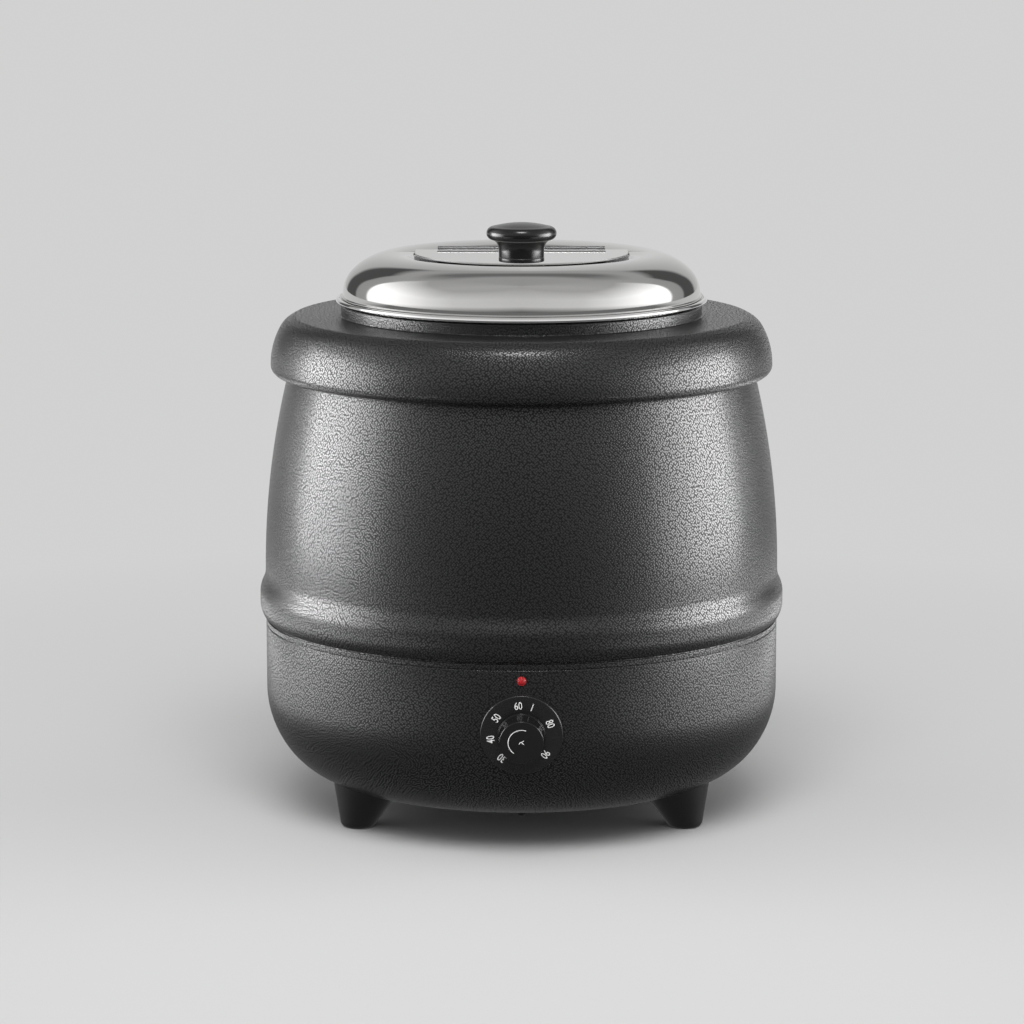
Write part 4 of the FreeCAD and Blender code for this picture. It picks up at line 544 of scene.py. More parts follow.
@dataclass
class Effects:
    """Shader node groups, each built once, with the values that they have on every surface."""

    pebble_turn: Spot = (0.0, 0.0, math.pi / 4)
    pebble_softness: float = 0.2
    pebble_scatter: float = 0.7
    pebble_edge: Sequence[float] = (0.6, 0.08)
    swell_scale: float = 0.3
    swell_detail: float = 1.0
    swell_share: float = 0.5
    cloud_detail: float = 4.0
    cloud_roughness: float = 0.62
    cloud_edge: Sequence[float] = (0.32, 0.68)
    fleck_scale: float = 14.0
    fleck_detail: float = 2.0
    fleck_share: Sequence[float] = (0.75, 1.25)
    line_detail: float = 3.0
    line_roughness: float = 0.7
    rubbed_edge: Sequence[float] = (0.54, 0.66)
    chip_detail: float = 4.0
    chip_edge: Sequence[float] = (0.42, 0.62)

    def __post_init__(self) -> None:
        """Build the groups."""
        self.pebbles = self._pebbles()
        self.marks = self._marks()
        self.lines = self._lines()
        self.wear = self._wear()

    def _pebbles(self) -> NodeTree:
        """Build the leather-like grain: rounded pebbles of uneven size with creases between them.

        Returns:
            The group.
        """
        wiring, incoming, outgoing = new_tree(
            "pebble_grain", Tree.SHADER, {"Vector": Socket.VECTOR, "Cells": Socket.NUMBER},
            {"Height": Socket.NUMBER, "Crease": Socket.NUMBER})
        place, cells = incoming.values()
        turned = wiring.out("ShaderNodeMapping", {"Vector": place, "Rotation": self.pebble_turn})
        cell = wiring.out("ShaderNodeTexVoronoi", {
            "Vector": turned, "Scale": cells, "Smoothness": self.pebble_softness, "Randomness": self.pebble_scatter,
        }, "Distance", feature="SMOOTH_F1", voronoi_dimensions="2D")
        dome = wiring.share(cell, *self.pebble_edge)
        swell = wiring.out("ShaderNodeTexNoise", {
            "Vector": place, "Scale": wiring.times(cells, self.swell_scale), "Detail": self.swell_detail})
        wiring.put(outgoing["Height"], wiring.plus(dome, wiring.times(swell, self.swell_share)))
        wiring.put(outgoing["Crease"], wiring.less(1.0, dome))
        return wiring.tree

    def _marks(self) -> NodeTree:
        """Build soft cloudy marks from handling, with finer flecks in them.

        Returns:
            The group.
        """
        wiring, incoming, outgoing = new_tree(
            "handling_marks", Tree.SHADER, {"Vector": Socket.VECTOR, "Scale": Socket.NUMBER},
            {"Marks": Socket.NUMBER})
        place, scale = incoming.values()
        cloud = wiring.out("ShaderNodeTexNoise", {
            "Vector": place, "Scale": scale, "Detail": self.cloud_detail, "Roughness": self.cloud_roughness})
        fleck = wiring.out("ShaderNodeTexNoise", {
            "Vector": place, "Scale": wiring.times(scale, self.fleck_scale), "Detail": self.fleck_detail})
        mixed = wiring.times(cloud, wiring.spread(fleck, *self.fleck_share))
        wiring.put(outgoing["Marks"], wiring.share(mixed, *self.cloud_edge))
        return wiring.tree

    def _lines(self) -> NodeTree:
        """Build the fine rings left by turning and polishing round the vertical axis.

        Returns:
            The group.
        """
        wiring, incoming, outgoing = new_tree(
            "turning_lines", Tree.SHADER, {"Vector": Socket.VECTOR, "Fineness": Socket.NUMBER},
            {"Lines": Socket.NUMBER})
        place, fineness = incoming.values()
        across, depth, height = wiring.add("ShaderNodeSeparateXYZ", {0: place}).outputs
        radius = wiring.math("SQRT", wiring.plus(wiring.times(across, across), wiring.times(depth, depth)))
        along = wiring.out("ShaderNodeCombineXYZ", {"X": radius, "Z": height})
        rings = wiring.out("ShaderNodeTexNoise", {
            "Vector": along, "Scale": fineness, "Detail": self.line_detail, "Roughness": self.line_roughness})
        wiring.put(outgoing["Lines"], rings)
        return wiring.tree

    def _wear(self) -> NodeTree:
        """Build rubbed edges: where the surface turns sharply outwards, broken up by flecks.

        Returns:
            The group.
        """
        wiring, incoming, outgoing = new_tree(
            "edge_wear", Tree.SHADER, {"Vector": Socket.VECTOR, "Flecks": Socket.NUMBER}, {"Wear": Socket.NUMBER})
        place, flecks = incoming.values()
        edge = wiring.share(wiring.out("ShaderNodeNewGeometry", None, "Pointiness"), *self.rubbed_edge)
        chip = wiring.out("ShaderNodeTexNoise", {"Vector": place, "Scale": flecks, "Detail": self.chip_detail})
        wiring.put(outgoing["Wear"], wiring.times(edge, wiring.share(chip, *self.chip_edge)))
        return wiring.tree


# Finishes

@dataclass
class Surface:
    """A material in the making: its wiring, its shader, the place on the piece and the shared effects."""

    wiring: Wiring
    shader: Node
    place: NodeSocket
    effects: Effects

    def put(self, name: str, value: object) -> None:
        """Give one of the shader's inputs a plain value, or join a socket to it."""
        self.wiring.put(self.shader.inputs[name], value)

    def effect(self, tree: NodeTree, **inputs: object) -> bpy.types.bpy_prop_collection:
        """The outputs of a shared effect, placed with its own values."""
        return self.wiring.add("ShaderNodeGroup", inputs, node_tree=tree).outputs

    def marks(self, scale: float) -> NodeSocket:
        """Handling marks of a scale."""
        return self.effect(self.effects.marks, Vector=self.place, Scale=scale)["Marks"]

    def wear(self, flecks: float) -> NodeSocket:
        """Rubbed edges, broken up by flecks of a scale."""
        return self.effect(self.effects.wear, Vector=self.place, Flecks=flecks)["Wear"]

    def bump(self, height: NodeSocket, depth: float, strength: float) -> None:
        """Raise the surface by a height."""
        inputs = {"Height": height, "Distance": depth, "Strength": strength}
        self.put("Normal", self.wiring.out("ShaderNodeBump", inputs))


@dataclass(frozen=True)
class Finish:
    """What a surface of the kettle looks like."""

    name: str
    colour: Colour
    roughness: float

    def material(self, effects: Effects) -> Material:
        """Build the surface.

        Args:
            effects: the shared node groups.

        Returns:
            The new material.
        """
        made = bpy.data.materials.new(self.name)
        made.diffuse_color = (*self.colour, 1.0)
        wiring = cleared(made)
        shader = wiring.add("ShaderNodeBsdfPrincipled", {"Base Color": self.colour, "Roughness": self.roughness})
        wiring.add("ShaderNodeOutputMaterial", {"Surface": shader.outputs[0]})
        self.dress(Surface(wiring, shader, wiring.out("ShaderNodeTexCoord", None, "Object"), effects))
        return made

    def dress(self, surface: Surface) -> None:
        """Add what is particular to this finish."""
        raise NotImplementedError


@dataclass(frozen=True)
class TexturedPaint(Finish):
    """Thick black paint with a leather-like grain."""

    cells: float = 660.0
    grain_depth: float = 0.00014
    grain_strength: float = 1.0
    # painted shade: the colour of the grain's creases
    painted_grain_shade: Colour = (0.004, 0.004, 0.0041)
    rubbed_colour: Colour = (0.03, 0.03, 0.031)
    rubbed_share: float = 0.5
    flecks: float = 900.0
    mark_scale: float = 9.0
    uneven: float = 0.02
    specular: float = 0.2
    crease_roughness: float = 0.48
    skin_roughness: float = 0.22
    dome_skin: float = 0.76
    crease_skin: float = 0.0
    marked_skin: float = 0.88
    crease_edge: Sequence[float] = (0.3, 0.85)

    def dress(self, surface: Surface) -> None:
        """Add grain in the bump and in a clear skin that is thin in the creases, painted shade in the creases,
        handling marks, rubbed edges.

        Args:
            surface: the material in the making.
        """
        wiring = surface.wiring
        spread_out = wiring.out("ShaderNodeUVMap", uv_map=MAP_NAME)
        grain = surface.effect(surface.effects.pebbles, Vector=spread_out, Cells=self.cells)
        marks, wear = surface.marks(self.mark_scale), surface.wear(self.flecks)
        # painted shade: the base colour is darkened in the grain's creases
        colour = wiring.blend(grain["Crease"], self.colour, self.painted_grain_shade)
        surface.put("Base Color", wiring.blend(wiring.times(wear, self.rubbed_share), colour, self.rubbed_colour))
        rough = wiring.between(grain["Crease"], *self.crease_edge, self.roughness, self.crease_roughness)
        surface.put("Roughness", wiring.plus(rough, wiring.spread(marks, -self.uneven, self.uneven)))
        surface.put("Specular IOR Level", self.specular)
        skin = wiring.between(grain["Crease"], *self.crease_edge, self.dome_skin, self.crease_skin)
        surface.put("Coat Weight", wiring.times(skin, wiring.spread(marks, 1.0, self.marked_skin)))
        surface.put("Coat Roughness", self.skin_roughness)
        surface.bump(grain["Height"], self.grain_depth, self.grain_strength)


@dataclass(frozen=True)
class Metal(Finish):
    """Bare metal, from mirror polish to rolled sheet, with turning lines and handling marks."""

    lines: float = 2600.0
    line_depth: float = 0.00001
    line_strength: float = 0.15
    mark_scale: float = 16.0
    uneven: float = 0.03
    stain: Colour = (0.6, 0.6, 0.6)
    stain_share: float = 0.12

    def dress(self, surface: Surface) -> None:
        """Add rings in the bump and the gloss, and marks in the colour.

        Args:
            surface: the material in the making.
        """
        wiring = surface.wiring
        surface.put("Metallic", 1.0)
        lines = surface.effect(surface.effects.lines, Vector=surface.place, Fineness=self.lines)["Lines"]
        marks = surface.marks(self.mark_scale)
        surface.put("Base Color", wiring.blend(wiring.times(marks, self.stain_share), self.colour, self.stain))
        gloss = wiring.spread(marks, self.roughness, self.roughness + self.uneven)
        surface.put("Roughness", wiring.plus(gloss, wiring.spread(lines, -self.uneven / 2, self.uneven / 2)))
        surface.bump(lines, self.line_depth, self.line_strength)


@dataclass(frozen=True)
class Moulded(Finish):
    """Moulded plastic, rubber or ceramic with a fine skin and handling marks."""

    skin: float = 1800.0
    skin_detail: float = 2.0
    skin_depth: float = 0.00004
    skin_strength: float = 0.2
    mark_scale: float = 45.0
    uneven: float = 0.06
    flecks: float = 1500.0
    worn: Colour = (0.06, 0.06, 0.06)
    worn_share: float = 0.45
    specular: float = 0.5

    def dress(self, surface: Surface) -> None:
        """Add a fine skin in the bump, marks in the gloss and lighter rubbed edges.

        Args:
            surface: the material in the making.
        """
        wiring = surface.wiring
        marks, wear = surface.marks(self.mark_scale), surface.wear(self.flecks)
        skin = wiring.out("ShaderNodeTexNoise", {
            "Vector": surface.place, "Scale": self.skin, "Detail": self.skin_detail})
        surface.put("Base Color", wiring.blend(wiring.times(wear, self.worn_share), self.colour, self.worn))
        surface.put("Roughness", wiring.spread(marks, self.roughness, self.roughness + self.uneven))
        surface.put("Specular IOR Level", self.specular)
        surface.bump(skin, self.skin_depth, self.skin_strength)


@dataclass(frozen=True)
class Lens(Finish):
    """Red lamp lens with a cut pattern."""

    lens_crease_shade: Colour = (0.22, 0.004, 0.006)
    cut: float = 900.0
    cut_depth: float = 0.0003
    cut_strength: float = 0.35
    mark_scale: float = 300.0
    uneven: float = 0.1
    specular: float = 0.25

    def dress(self, surface: Surface) -> None:
        """Add cut cells in the bump, with painted shade that darkens the colour towards their creases.

        Args:
            surface: the material in the making.
        """
        wiring = surface.wiring
        cell = wiring.out("ShaderNodeTexVoronoi", {"Vector": surface.place, "Scale": self.cut}, "Distance")
        marks = surface.marks(self.mark_scale)
        # painted shade: darker red towards the creases of the cut cells
        surface.put("Base Color", wiring.blend(cell, self.colour, self.lens_crease_shade))
        surface.put("Roughness", wiring.spread(marks, self.roughness, self.roughness + self.uneven))
        surface.put("Specular IOR Level", self.specular)
        surface.bump(cell, self.cut_depth, self.cut_strength)


@dataclass(frozen=True)
class Print(Finish):
    """Printed ink, slightly uneven."""

    thin: Colour = (0.6, 0.6, 0.6)
    thin_share: float = 0.7
    mark_scale: float = 420.0
    uneven: float = 0.15

    def dress(self, surface: Surface) -> None:
        """Make the ink thinner in places.

        Args:
            surface: the material in the making.
        """
        wiring, marks = surface.wiring, surface.marks(self.mark_scale)
        surface.put("Base Color", wiring.blend(wiring.times(marks, self.thin_share), self.colour, self.thin))
        surface.put("Roughness", wiring.spread(marks, self.roughness, self.roughness + self.uneven))


BLACK_PAINT = TexturedPaint("textured_black_paint", (0.017, 0.017, 0.0174), 0.22)
MIRROR_STEEL = Metal("mirror_steel", (0.66, 0.655, 0.645), 0.04, lines=2200.0, line_strength=0.05)
# painted highlight: the rolled rim is the lid's own steel, made paler so that it shows brighter
RIM_HIGHLIGHT_STEEL = Metal("rim_painted_highlight", (0.93, 0.925, 0.92), 0.05, lines=2200.0, line_strength=0.05)
LEAF_STEEL = Metal("leaf_steel", (0.58, 0.58, 0.575), 0.1, lines=3200.0, line_strength=0.1, uneven=0.05)
# painted shade: the hinge's knuckles and pin are steel, made dark grey so that the hinge shows as a dark line
KNUCKLE_SHADE_STEEL = Metal("knuckle_painted_shade", (0.1, 0.1, 0.1), 0.34, lines=3200.0, line_strength=0.2, uneven=0.08)
CUT_EDGE = Metal("cut_edge", (0.6, 0.6, 0.595), 0.5, lines=1800.0, line_strength=0.3, uneven=0.1)
SATIN_STEEL = Metal(
    "satin_steel", (0.60, 0.60, 0.595), 0.28, lines=3200.0, line_strength=0.35, uneven=0.02, stain_share=0.05)
ZINC_STEEL = Metal(
    "zinc_steel", (0.52, 0.53, 0.54), 0.33, lines=900.0, line_strength=0.2, uneven=0.16, stain_share=0.4)
# painted shade: the bottom plate and the screws, nuts, washers and rods of the underside are made near black where
# the underside is in shade
UNDERSIDE_SHADE_METAL = Metal(
    "underside_painted_shade", (0.035, 0.035, 0.037), 0.4, lines=900.0, line_strength=0.2, uneven=0.12, stain=(0.06, 0.06, 0.06))
MILL_ALUMINIUM = Metal(
    "mill_aluminium", (0.74, 0.74, 0.75), 0.36, lines=700.0, line_strength=0.25, uneven=0.12)
BARE_COPPER = Metal(
    "bare_copper", (0.72, 0.38, 0.24), 0.28, stain=(0.35, 0.16, 0.09), stain_share=0.6, uneven=0.15)
HEATED_SHEATH = Metal(
    "heated_sheath", (0.24, 0.21, 0.20), 0.42, stain=(0.13, 0.11, 0.14), stain_share=0.8, uneven=0.15)
GLOSS_BLACK = Moulded(
    "gloss_black", (0.004, 0.004, 0.0042), 0.2, skin_strength=0.04, uneven=0.05, worn=(0.02, 0.02, 0.02),
    specular=0.42)
DIAL_PLATE_BLACK = Moulded(
    "dial_plate_black", (0.011, 0.011, 0.0112), 0.24, skin_strength=0.06, specular=0.4)
DIAL_KNOB_BLACK = Moulded(
    "dial_knob_black", (0.009, 0.009, 0.0092), 0.15, skin_strength=0.05, worn=(0.03, 0.03, 0.03), specular=0.3)
FOOT_BLACK = Moulded("foot_black", (0.005, 0.005, 0.005), 0.34, skin_strength=0.3)
NYLON_BLACK = Moulded("nylon_black", (0.013, 0.013, 0.013), 0.44, skin_strength=0.35)
SWITCH_PLASTIC = Moulded("switch_plastic", (0.66, 0.63, 0.55), 0.45, worn=(0.75, 0.73, 0.68))
FIRED_CERAMIC = Moulded("fired_ceramic", (0.80, 0.77, 0.70), 0.5, worn=(0.86, 0.84, 0.8), skin_strength=0.4)
BROWN_LEAD = Moulded("brown_lead", (0.17, 0.06, 0.03), 0.42, worn=(0.24, 0.10, 0.06))
BLUE_LEAD = Moulded("blue_lead", (0.03, 0.08, 0.35), 0.42, worn=(0.08, 0.14, 0.42))
GREEN_LEAD = Moulded("green_lead", (0.08, 0.28, 0.06), 0.42, worn=(0.3, 0.4, 0.06))
RED_LENS = Lens("red_lens", (0.47, 0.020, 0.028), 0.4)
LIGHT_PRINT = Print("light_print", (0.86, 0.86, 0.85), 0.5)

SLOT_FINISHES: dict[str, Finish] = {
    "textured_black": BLACK_PAINT,
    "mirror_steel": MIRROR_STEEL,
    "satin_steel": SATIN_STEEL,
    "zinc_steel": ZINC_STEEL,
    "gloss_black": GLOSS_BLACK,
    "dial_black": DIAL_PLATE_BLACK,
    "lens_red": RED_LENS,
    "foot_black": FOOT_BLACK,
    "nylon_black": NYLON_BLACK,
    "switch_plastic": SWITCH_PLASTIC,
    "ceramic": FIRED_CERAMIC,
    "element_sheath": HEATED_SHEATH,
    "aluminium_sheet": MILL_ALUMINIUM,
    "copper": BARE_COPPER,
    "lead_brown": BROWN_LEAD,
    "lead_blue": BLUE_LEAD,
    "lead_green": GREEN_LEAD,
}
NODE_FINISHES: dict[str, Finish] = {
    # painted shade: near-black metal on the underside
    "bottom_plate": UNDERSIDE_SHADE_METAL,
    "bottom_plate_screws": UNDERSIDE_SHADE_METAL,
    "foot_screws": UNDERSIDE_SHADE_METAL,
    "tie_nuts": UNDERSIDE_SHADE_METAL,
    "tie_washers": UNDERSIDE_SHADE_METAL,
    "tie_rods": UNDERSIDE_SHADE_METAL,
    # painted shade: the pin is as dark as the knuckles
    "hinge_pin": KNUCKLE_SHADE_STEEL,
}


class Workshop:
    """Makes meshes, dresses them and sets them on the frame."""

    def __init__(self, frame: dict) -> None:
        """Set up the shared effects and shape rules.

        Args:
            frame: the loaded frame.
        """
        self.frame = frame
        self.effects = Effects()
        self.turned_rule = Turned()
        self.row_rule = Row()
        self.materials: dict[str, Material] = {}
        self.pieces: dict[str, Object] = {}

    def surface(self, finish: Finish) -> Material:
        """Find the material of a finish, or build it when it is first asked for.

        Args:
            finish: the finish.

        Returns:
            Its material.
        """
        if finish.name not in self.materials:
            self.materials[finish.name] = finish.material(self.effects)
        return self.materials[finish.name]

    @staticmethod
    def mesh(name: str, points: Sequence[Sequence[float]], faces: Sequence[Sequence[int]]) -> Mesh:
        """Make a mesh in metres from points in millimetres.

        Args:
            name: the mesh's name.
            points: its points.
            faces: the numbers of each face's points.

        Returns:
            The mesh.
        """
        made = bpy.data.meshes.new(name)
        made.from_pydata([tuple(value * MM for value in point) for point in points], [], list(faces))
        return made

    def turned(
        self, name: str, loop: Sequence[Point], finish: Finish, segments: int, place: Matrix | None = None,
    ) -> Mesh:
        """Turn a closed outline round the vertical axis.

        Args:
            name: the mesh's name.
            loop: corners of the closed outline, as radius and height.
            finish: the surface.
            segments: columns of faces round the axis.
            place: where the turned shape goes, if not on the kettle's axis.

        Returns:
            A closed mesh.
        """
        corners = [*loop, loop[0]]
        start = self.mesh(name, [(radius, 0.0, height) for radius, height in corners], [])
        run = start.attributes.new(RUN_NAME, "FLOAT", "POINT")
        for index in range(1, len(corners)):
            step = math.dist(corners[index - 1], corners[index]) * MM
            run.data[index].value = run.data[index - 1].value + step
        girth = max(radius for radius, _ in corners) * MM
        mesh = self.turned_rule.apply(start, self.surface(finish), Segments=segments, Girth=girth)
        mesh.name = name
        self.outward(mesh)
        if place is not None:
            mesh.transform(place)
        return mesh

    def row(self, mesh: Mesh, finish: Finish, count: int, step: float) -> Mesh:
        """Repeat a mesh along X, with a step in millimetres."""
        offset = Vector((step, 0.0, 0.0)) * MM
        return self.row_rule.apply(mesh, self.surface(finish), Count=count, Step=offset)

    @staticmethod
    def outward(mesh: Mesh) -> Mesh:
        """Merge doubles and turn all faces outwards.

        Args:
            mesh: the mesh to change.

        Returns:
            The mesh itself.
        """
        work = bmesh.new()
        work.from_mesh(mesh)
        bmesh.ops.remove_doubles(work, verts=work.verts, dist=MERGE_DISTANCE)
        bmesh.ops.dissolve_degenerate(work, edges=work.edges, dist=MERGE_DISTANCE)
        bmesh.ops.recalc_face_normals(work, faces=work.faces)
        work.to_mesh(mesh)
        work.free()
        return mesh

    @staticmethod
    def joined(meshes: Sequence[Mesh]) -> Mesh:
        """Make one mesh from several.

        Args:
            meshes: the meshes, in order.

        Returns:
            A new mesh.
        """
        work = bmesh.new()
        for mesh in meshes:
            work.from_mesh(mesh)
        result = bpy.data.meshes.new(meshes[0].name)
        work.to_mesh(result)
        work.free()
        return result

    @staticmethod
    def cut(mesh: Mesh, cutter: Mesh) -> Mesh:
        """Cut one mesh out of another.

        Args:
            mesh: the mesh that stays.
            cutter: the mesh that is taken from it.

        Returns:
            A new plain mesh.
        """
        holders = [in_scene(item.name, item) for item in (mesh, cutter)]
        modifier = holders[0].modifiers.new("cut", "BOOLEAN")
        modifier.operation = "DIFFERENCE"
        modifier.solver = "EXACT"
        modifier.object = holders[1]
        result = plain_mesh(holders[0])
        for holder in holders:
            bpy.data.objects.remove(holder)
        return result

    def piece(
        self, name: str, mesh: Mesh, body: Body, slot: str, finish: Finish, replaces: Sequence[str] = (),
    ) -> None:
        """Set a finished mesh on the frame.

        Args:
            name: the piece's name.
            mesh: its mesh, in place.
            body: the body that it moves with.
            slot: the record's material slot; not used.
            finish: its surface.
            replaces: the frame's nodes that it stands for.
        """
        mesh.materials.clear()
        mesh.materials.append(self.surface(finish))
        made = in_scene(name, mesh)
        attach(made, body.value)
        if replaces:
            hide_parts(*replaces)
        self.pieces[name] = made
        log.info("piece %s on %s: %d faces", name, body.value, len(mesh.polygons))

    def dress_frame(self) -> None:
        """Give every node of the frame the finish of its slot, or one of its own."""
        for part in self.frame["record"]["subparts"]:
            node = part["node"]
            finish = NODE_FINISHES.get(node, SLOT_FINISHES[part["material_slot"]])
            for slot in self.frame["nodes"][node].material_slots:
                slot.material = self.surface(finish)
            log.info("dressed %s as %s", node, finish.name)


# Sub-assemblies

@dataclass
class BodyShells:
    """Base pan, drum and collar: bent sheets of revolution."""

    shop: Workshop
    sheet: float = 1.0
    edge_bend: float = 0.35
    pan_radius: float = 166.0
    pan_height: float = 105.0
    pan_corner: Sequence[float] = (56.0, 60.0, 35.0)
    pan_lip_radius: float = 165.1
    pan_lip_height: float = 10.0
    service_radius: float = 78.0
    line_drop: float = 3.5
    line_width: float = 0.9
    line_depth: float = 0.5
    seam_gap: float = 1.0
    rib_radius: float = 169.7
    rib_edge: Sequence[float] = (4.2, 9.4, 35.0)
    rib_face: float = 6.0
    rib_blend: float = 15.0
    barrel_radius: float = 166.1
    barrel_sweep: float = 525.0
    barrel_rise: float = 195.2
    flange_edge: float = 128.0
    collar_radius: float = 161.6
    collar_crown: Sequence[float] = (19.5, 31.5, 30.0)
    collar_edge_bend: float = 5.0
    collar_edge_slope: float = 62.0
    collar_lip_bend: float = 6.0
    neck_radius: float = 116.0
    neck_height: float = 8.0
    neck_bend: float = 0.8
    seat_radius: float = 112.6
    seat_gap: float = 0.1
    lip_clearance: float = 0.6
    segments: int = 288

    def __post_init__(self) -> None:
        """Work out the heights from the frame's base pan."""
        self.pan_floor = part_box("base_pan")[0].z / MM
        self.pan_top = self.pan_floor + self.pan_height
        self.seam = self.pan_top + self.seam_gap
        self.barrel_foot = self.seam + self.rib_edge[1] + self.rib_face + self.rib_blend
        self.shoulder = self.seam + self.barrel_rise

    def pan_outline(self, inset: float) -> Outline:
        """Draw the pan from its service hole, round the corner and up to the lip inside the drum.

        Args:
            inset: distance in from the outer face.

        Returns:
            The outline.
        """
        corner = Corner(self.pan_radius, self.pan_floor, *self.pan_corner, -1)
        outline = Outline(self.service_radius, self.pan_floor + inset)
        outline.line(*corner.level_point(inset))
        corner.to_wall(outline, inset)
        if not inset:
            line, half = self.pan_top - self.line_drop, self.line_width / 2
            outline.lines(
                (self.pan_radius, line - half), (self.pan_radius - self.line_depth, line),
                (self.pan_radius, line + half))
        lip = self.pan_lip_radius - inset
        return outline.lines(
            (self.pan_radius - inset, self.pan_top - inset), (lip, self.pan_top - inset),
            (lip, self.pan_top + self.pan_lip_height))

    def side_radius(self, height: float, inset: float) -> float:
        """Radius of the drum's swept side at a height."""
        reach = self.barrel_sweep - inset
        return self.barrel_radius - self.barrel_sweep + math.sqrt(reach ** 2 - (height - self.barrel_foot) ** 2)

    def barrel_outline(self, inset: float) -> Outline:
        """Draw the drum from its rounded lower edge, over the rib and up to the inward flange.

        Args:
            inset: distance in from the outer face.

        Returns:
            The outline.
        """
        top = self.shoulder - self.sheet - self.seat_gap - inset
        rise = self.rib_radius - self.barrel_radius
        bend = (self.rib_blend ** 2 + rise ** 2) / (4 * rise)
        face_top = self.barrel_foot - self.rib_blend
        slope = math.asin(self.rib_blend / 2 / bend)
        edge = Corner(self.rib_radius, self.seam, *self.rib_edge, -1)
        joint_radius = self.rib_radius - bend + (bend - inset) * math.cos(slope)
        joint_height = face_top + (bend - inset) * math.sin(slope)
        outline = edge.to_wall(Outline(*edge.level_point(inset)), inset)
        outline.line(self.rib_radius - inset, face_top)
        outline.arc(self.rib_radius - bend, face_top, joint_radius, joint_height)
        outline.arc(self.barrel_radius + bend, self.barrel_foot, self.barrel_radius - inset, self.barrel_foot)
        centre = (self.barrel_radius - self.barrel_sweep, self.barrel_foot)
        outline.arc(*centre, self.side_radius(top, inset), top)
        return outline.line(self.flange_edge, top)

    def collar_edge(self, outline: Outline, crown: Corner, inset: float) -> None:
        """Draw the tight bend and the short slope where the collar's level top turns into its crown.

        Args:
            outline: the collar's outline, drawn as far as the level top.
            crown: the rounded shoulder.
            inset: distance in from the outer face.
        """
        slope = math.radians(self.collar_edge_slope)
        sine, cosine = math.sin(slope), math.cos(slope)
        wider = crown.level_bend - self.collar_edge_bend
        middle = crown.level_centre[0] + wider * cosine - wider * (1.0 - sine) * sine / cosine
        height = self.shoulder - self.collar_edge_bend
        bend = self.collar_edge_bend - inset
        outline.line(middle, self.shoulder - inset)
        outline.arc(middle, height, middle + bend * cosine, height + bend * sine)
        bend = crown.level_bend - inset
        outline.line(crown.level_centre[0] + bend * cosine, crown.level_centre[1] + bend * sine)

    def collar_outline(self, inset: float) -> Outline:
        """Draw the collar from the well's seat, down the neck, over the shoulder and under the lip.

        Args:
            inset: distance in from the outer face.

        Returns:
            The outline.
        """
        neck_top = self.shoulder + self.neck_height
        neck_bend = self.neck_bend + self.sheet
        turn_radius, turn_height = self.neck_radius - neck_bend, neck_top - neck_bend
        foot_radius, foot_height = self.neck_radius + self.neck_bend, self.shoulder + self.neck_bend
        lip_radius, lip_top = self.collar_radius - self.collar_lip_bend, self.shoulder - self.collar_crown[1]
        lip_bottom = lip_top - self.collar_lip_bend
        crown = Corner(self.collar_radius, self.shoulder, *self.collar_crown, 1)
        outline = Outline(self.seat_radius, neck_top - inset)
        outline.line(turn_radius, neck_top - inset)
        outline.arc(turn_radius, turn_height, self.neck_radius - inset, turn_height)
        outline.line(self.neck_radius - inset, foot_height)
        outline.arc(foot_radius, foot_height, foot_radius, self.shoulder - inset)
        self.collar_edge(outline, crown, inset)
        crown.to_wall(outline, inset)
        outline.arc(lip_radius, lip_top, lip_radius, lip_bottom + inset)
        return outline.line(self.side_radius(lip_bottom, 0.0) + self.lip_clearance, lip_bottom + inset)

    def build(self) -> None:
        """Make and dress the three shells."""
        shells = (
            ("base_pan", self.pan_outline), ("barrel_shell", self.barrel_outline),
            ("collar_ring", self.collar_outline))
        for node, outline in shells:
            loop = sheet_loop(outline, self.sheet, self.edge_bend)
            mesh = self.shop.turned(node, loop, BLACK_PAINT, self.segments)
            self.shop.piece("painted_" + node, mesh, Body.KETTLE, "textured_black", BLACK_PAINT, [node])


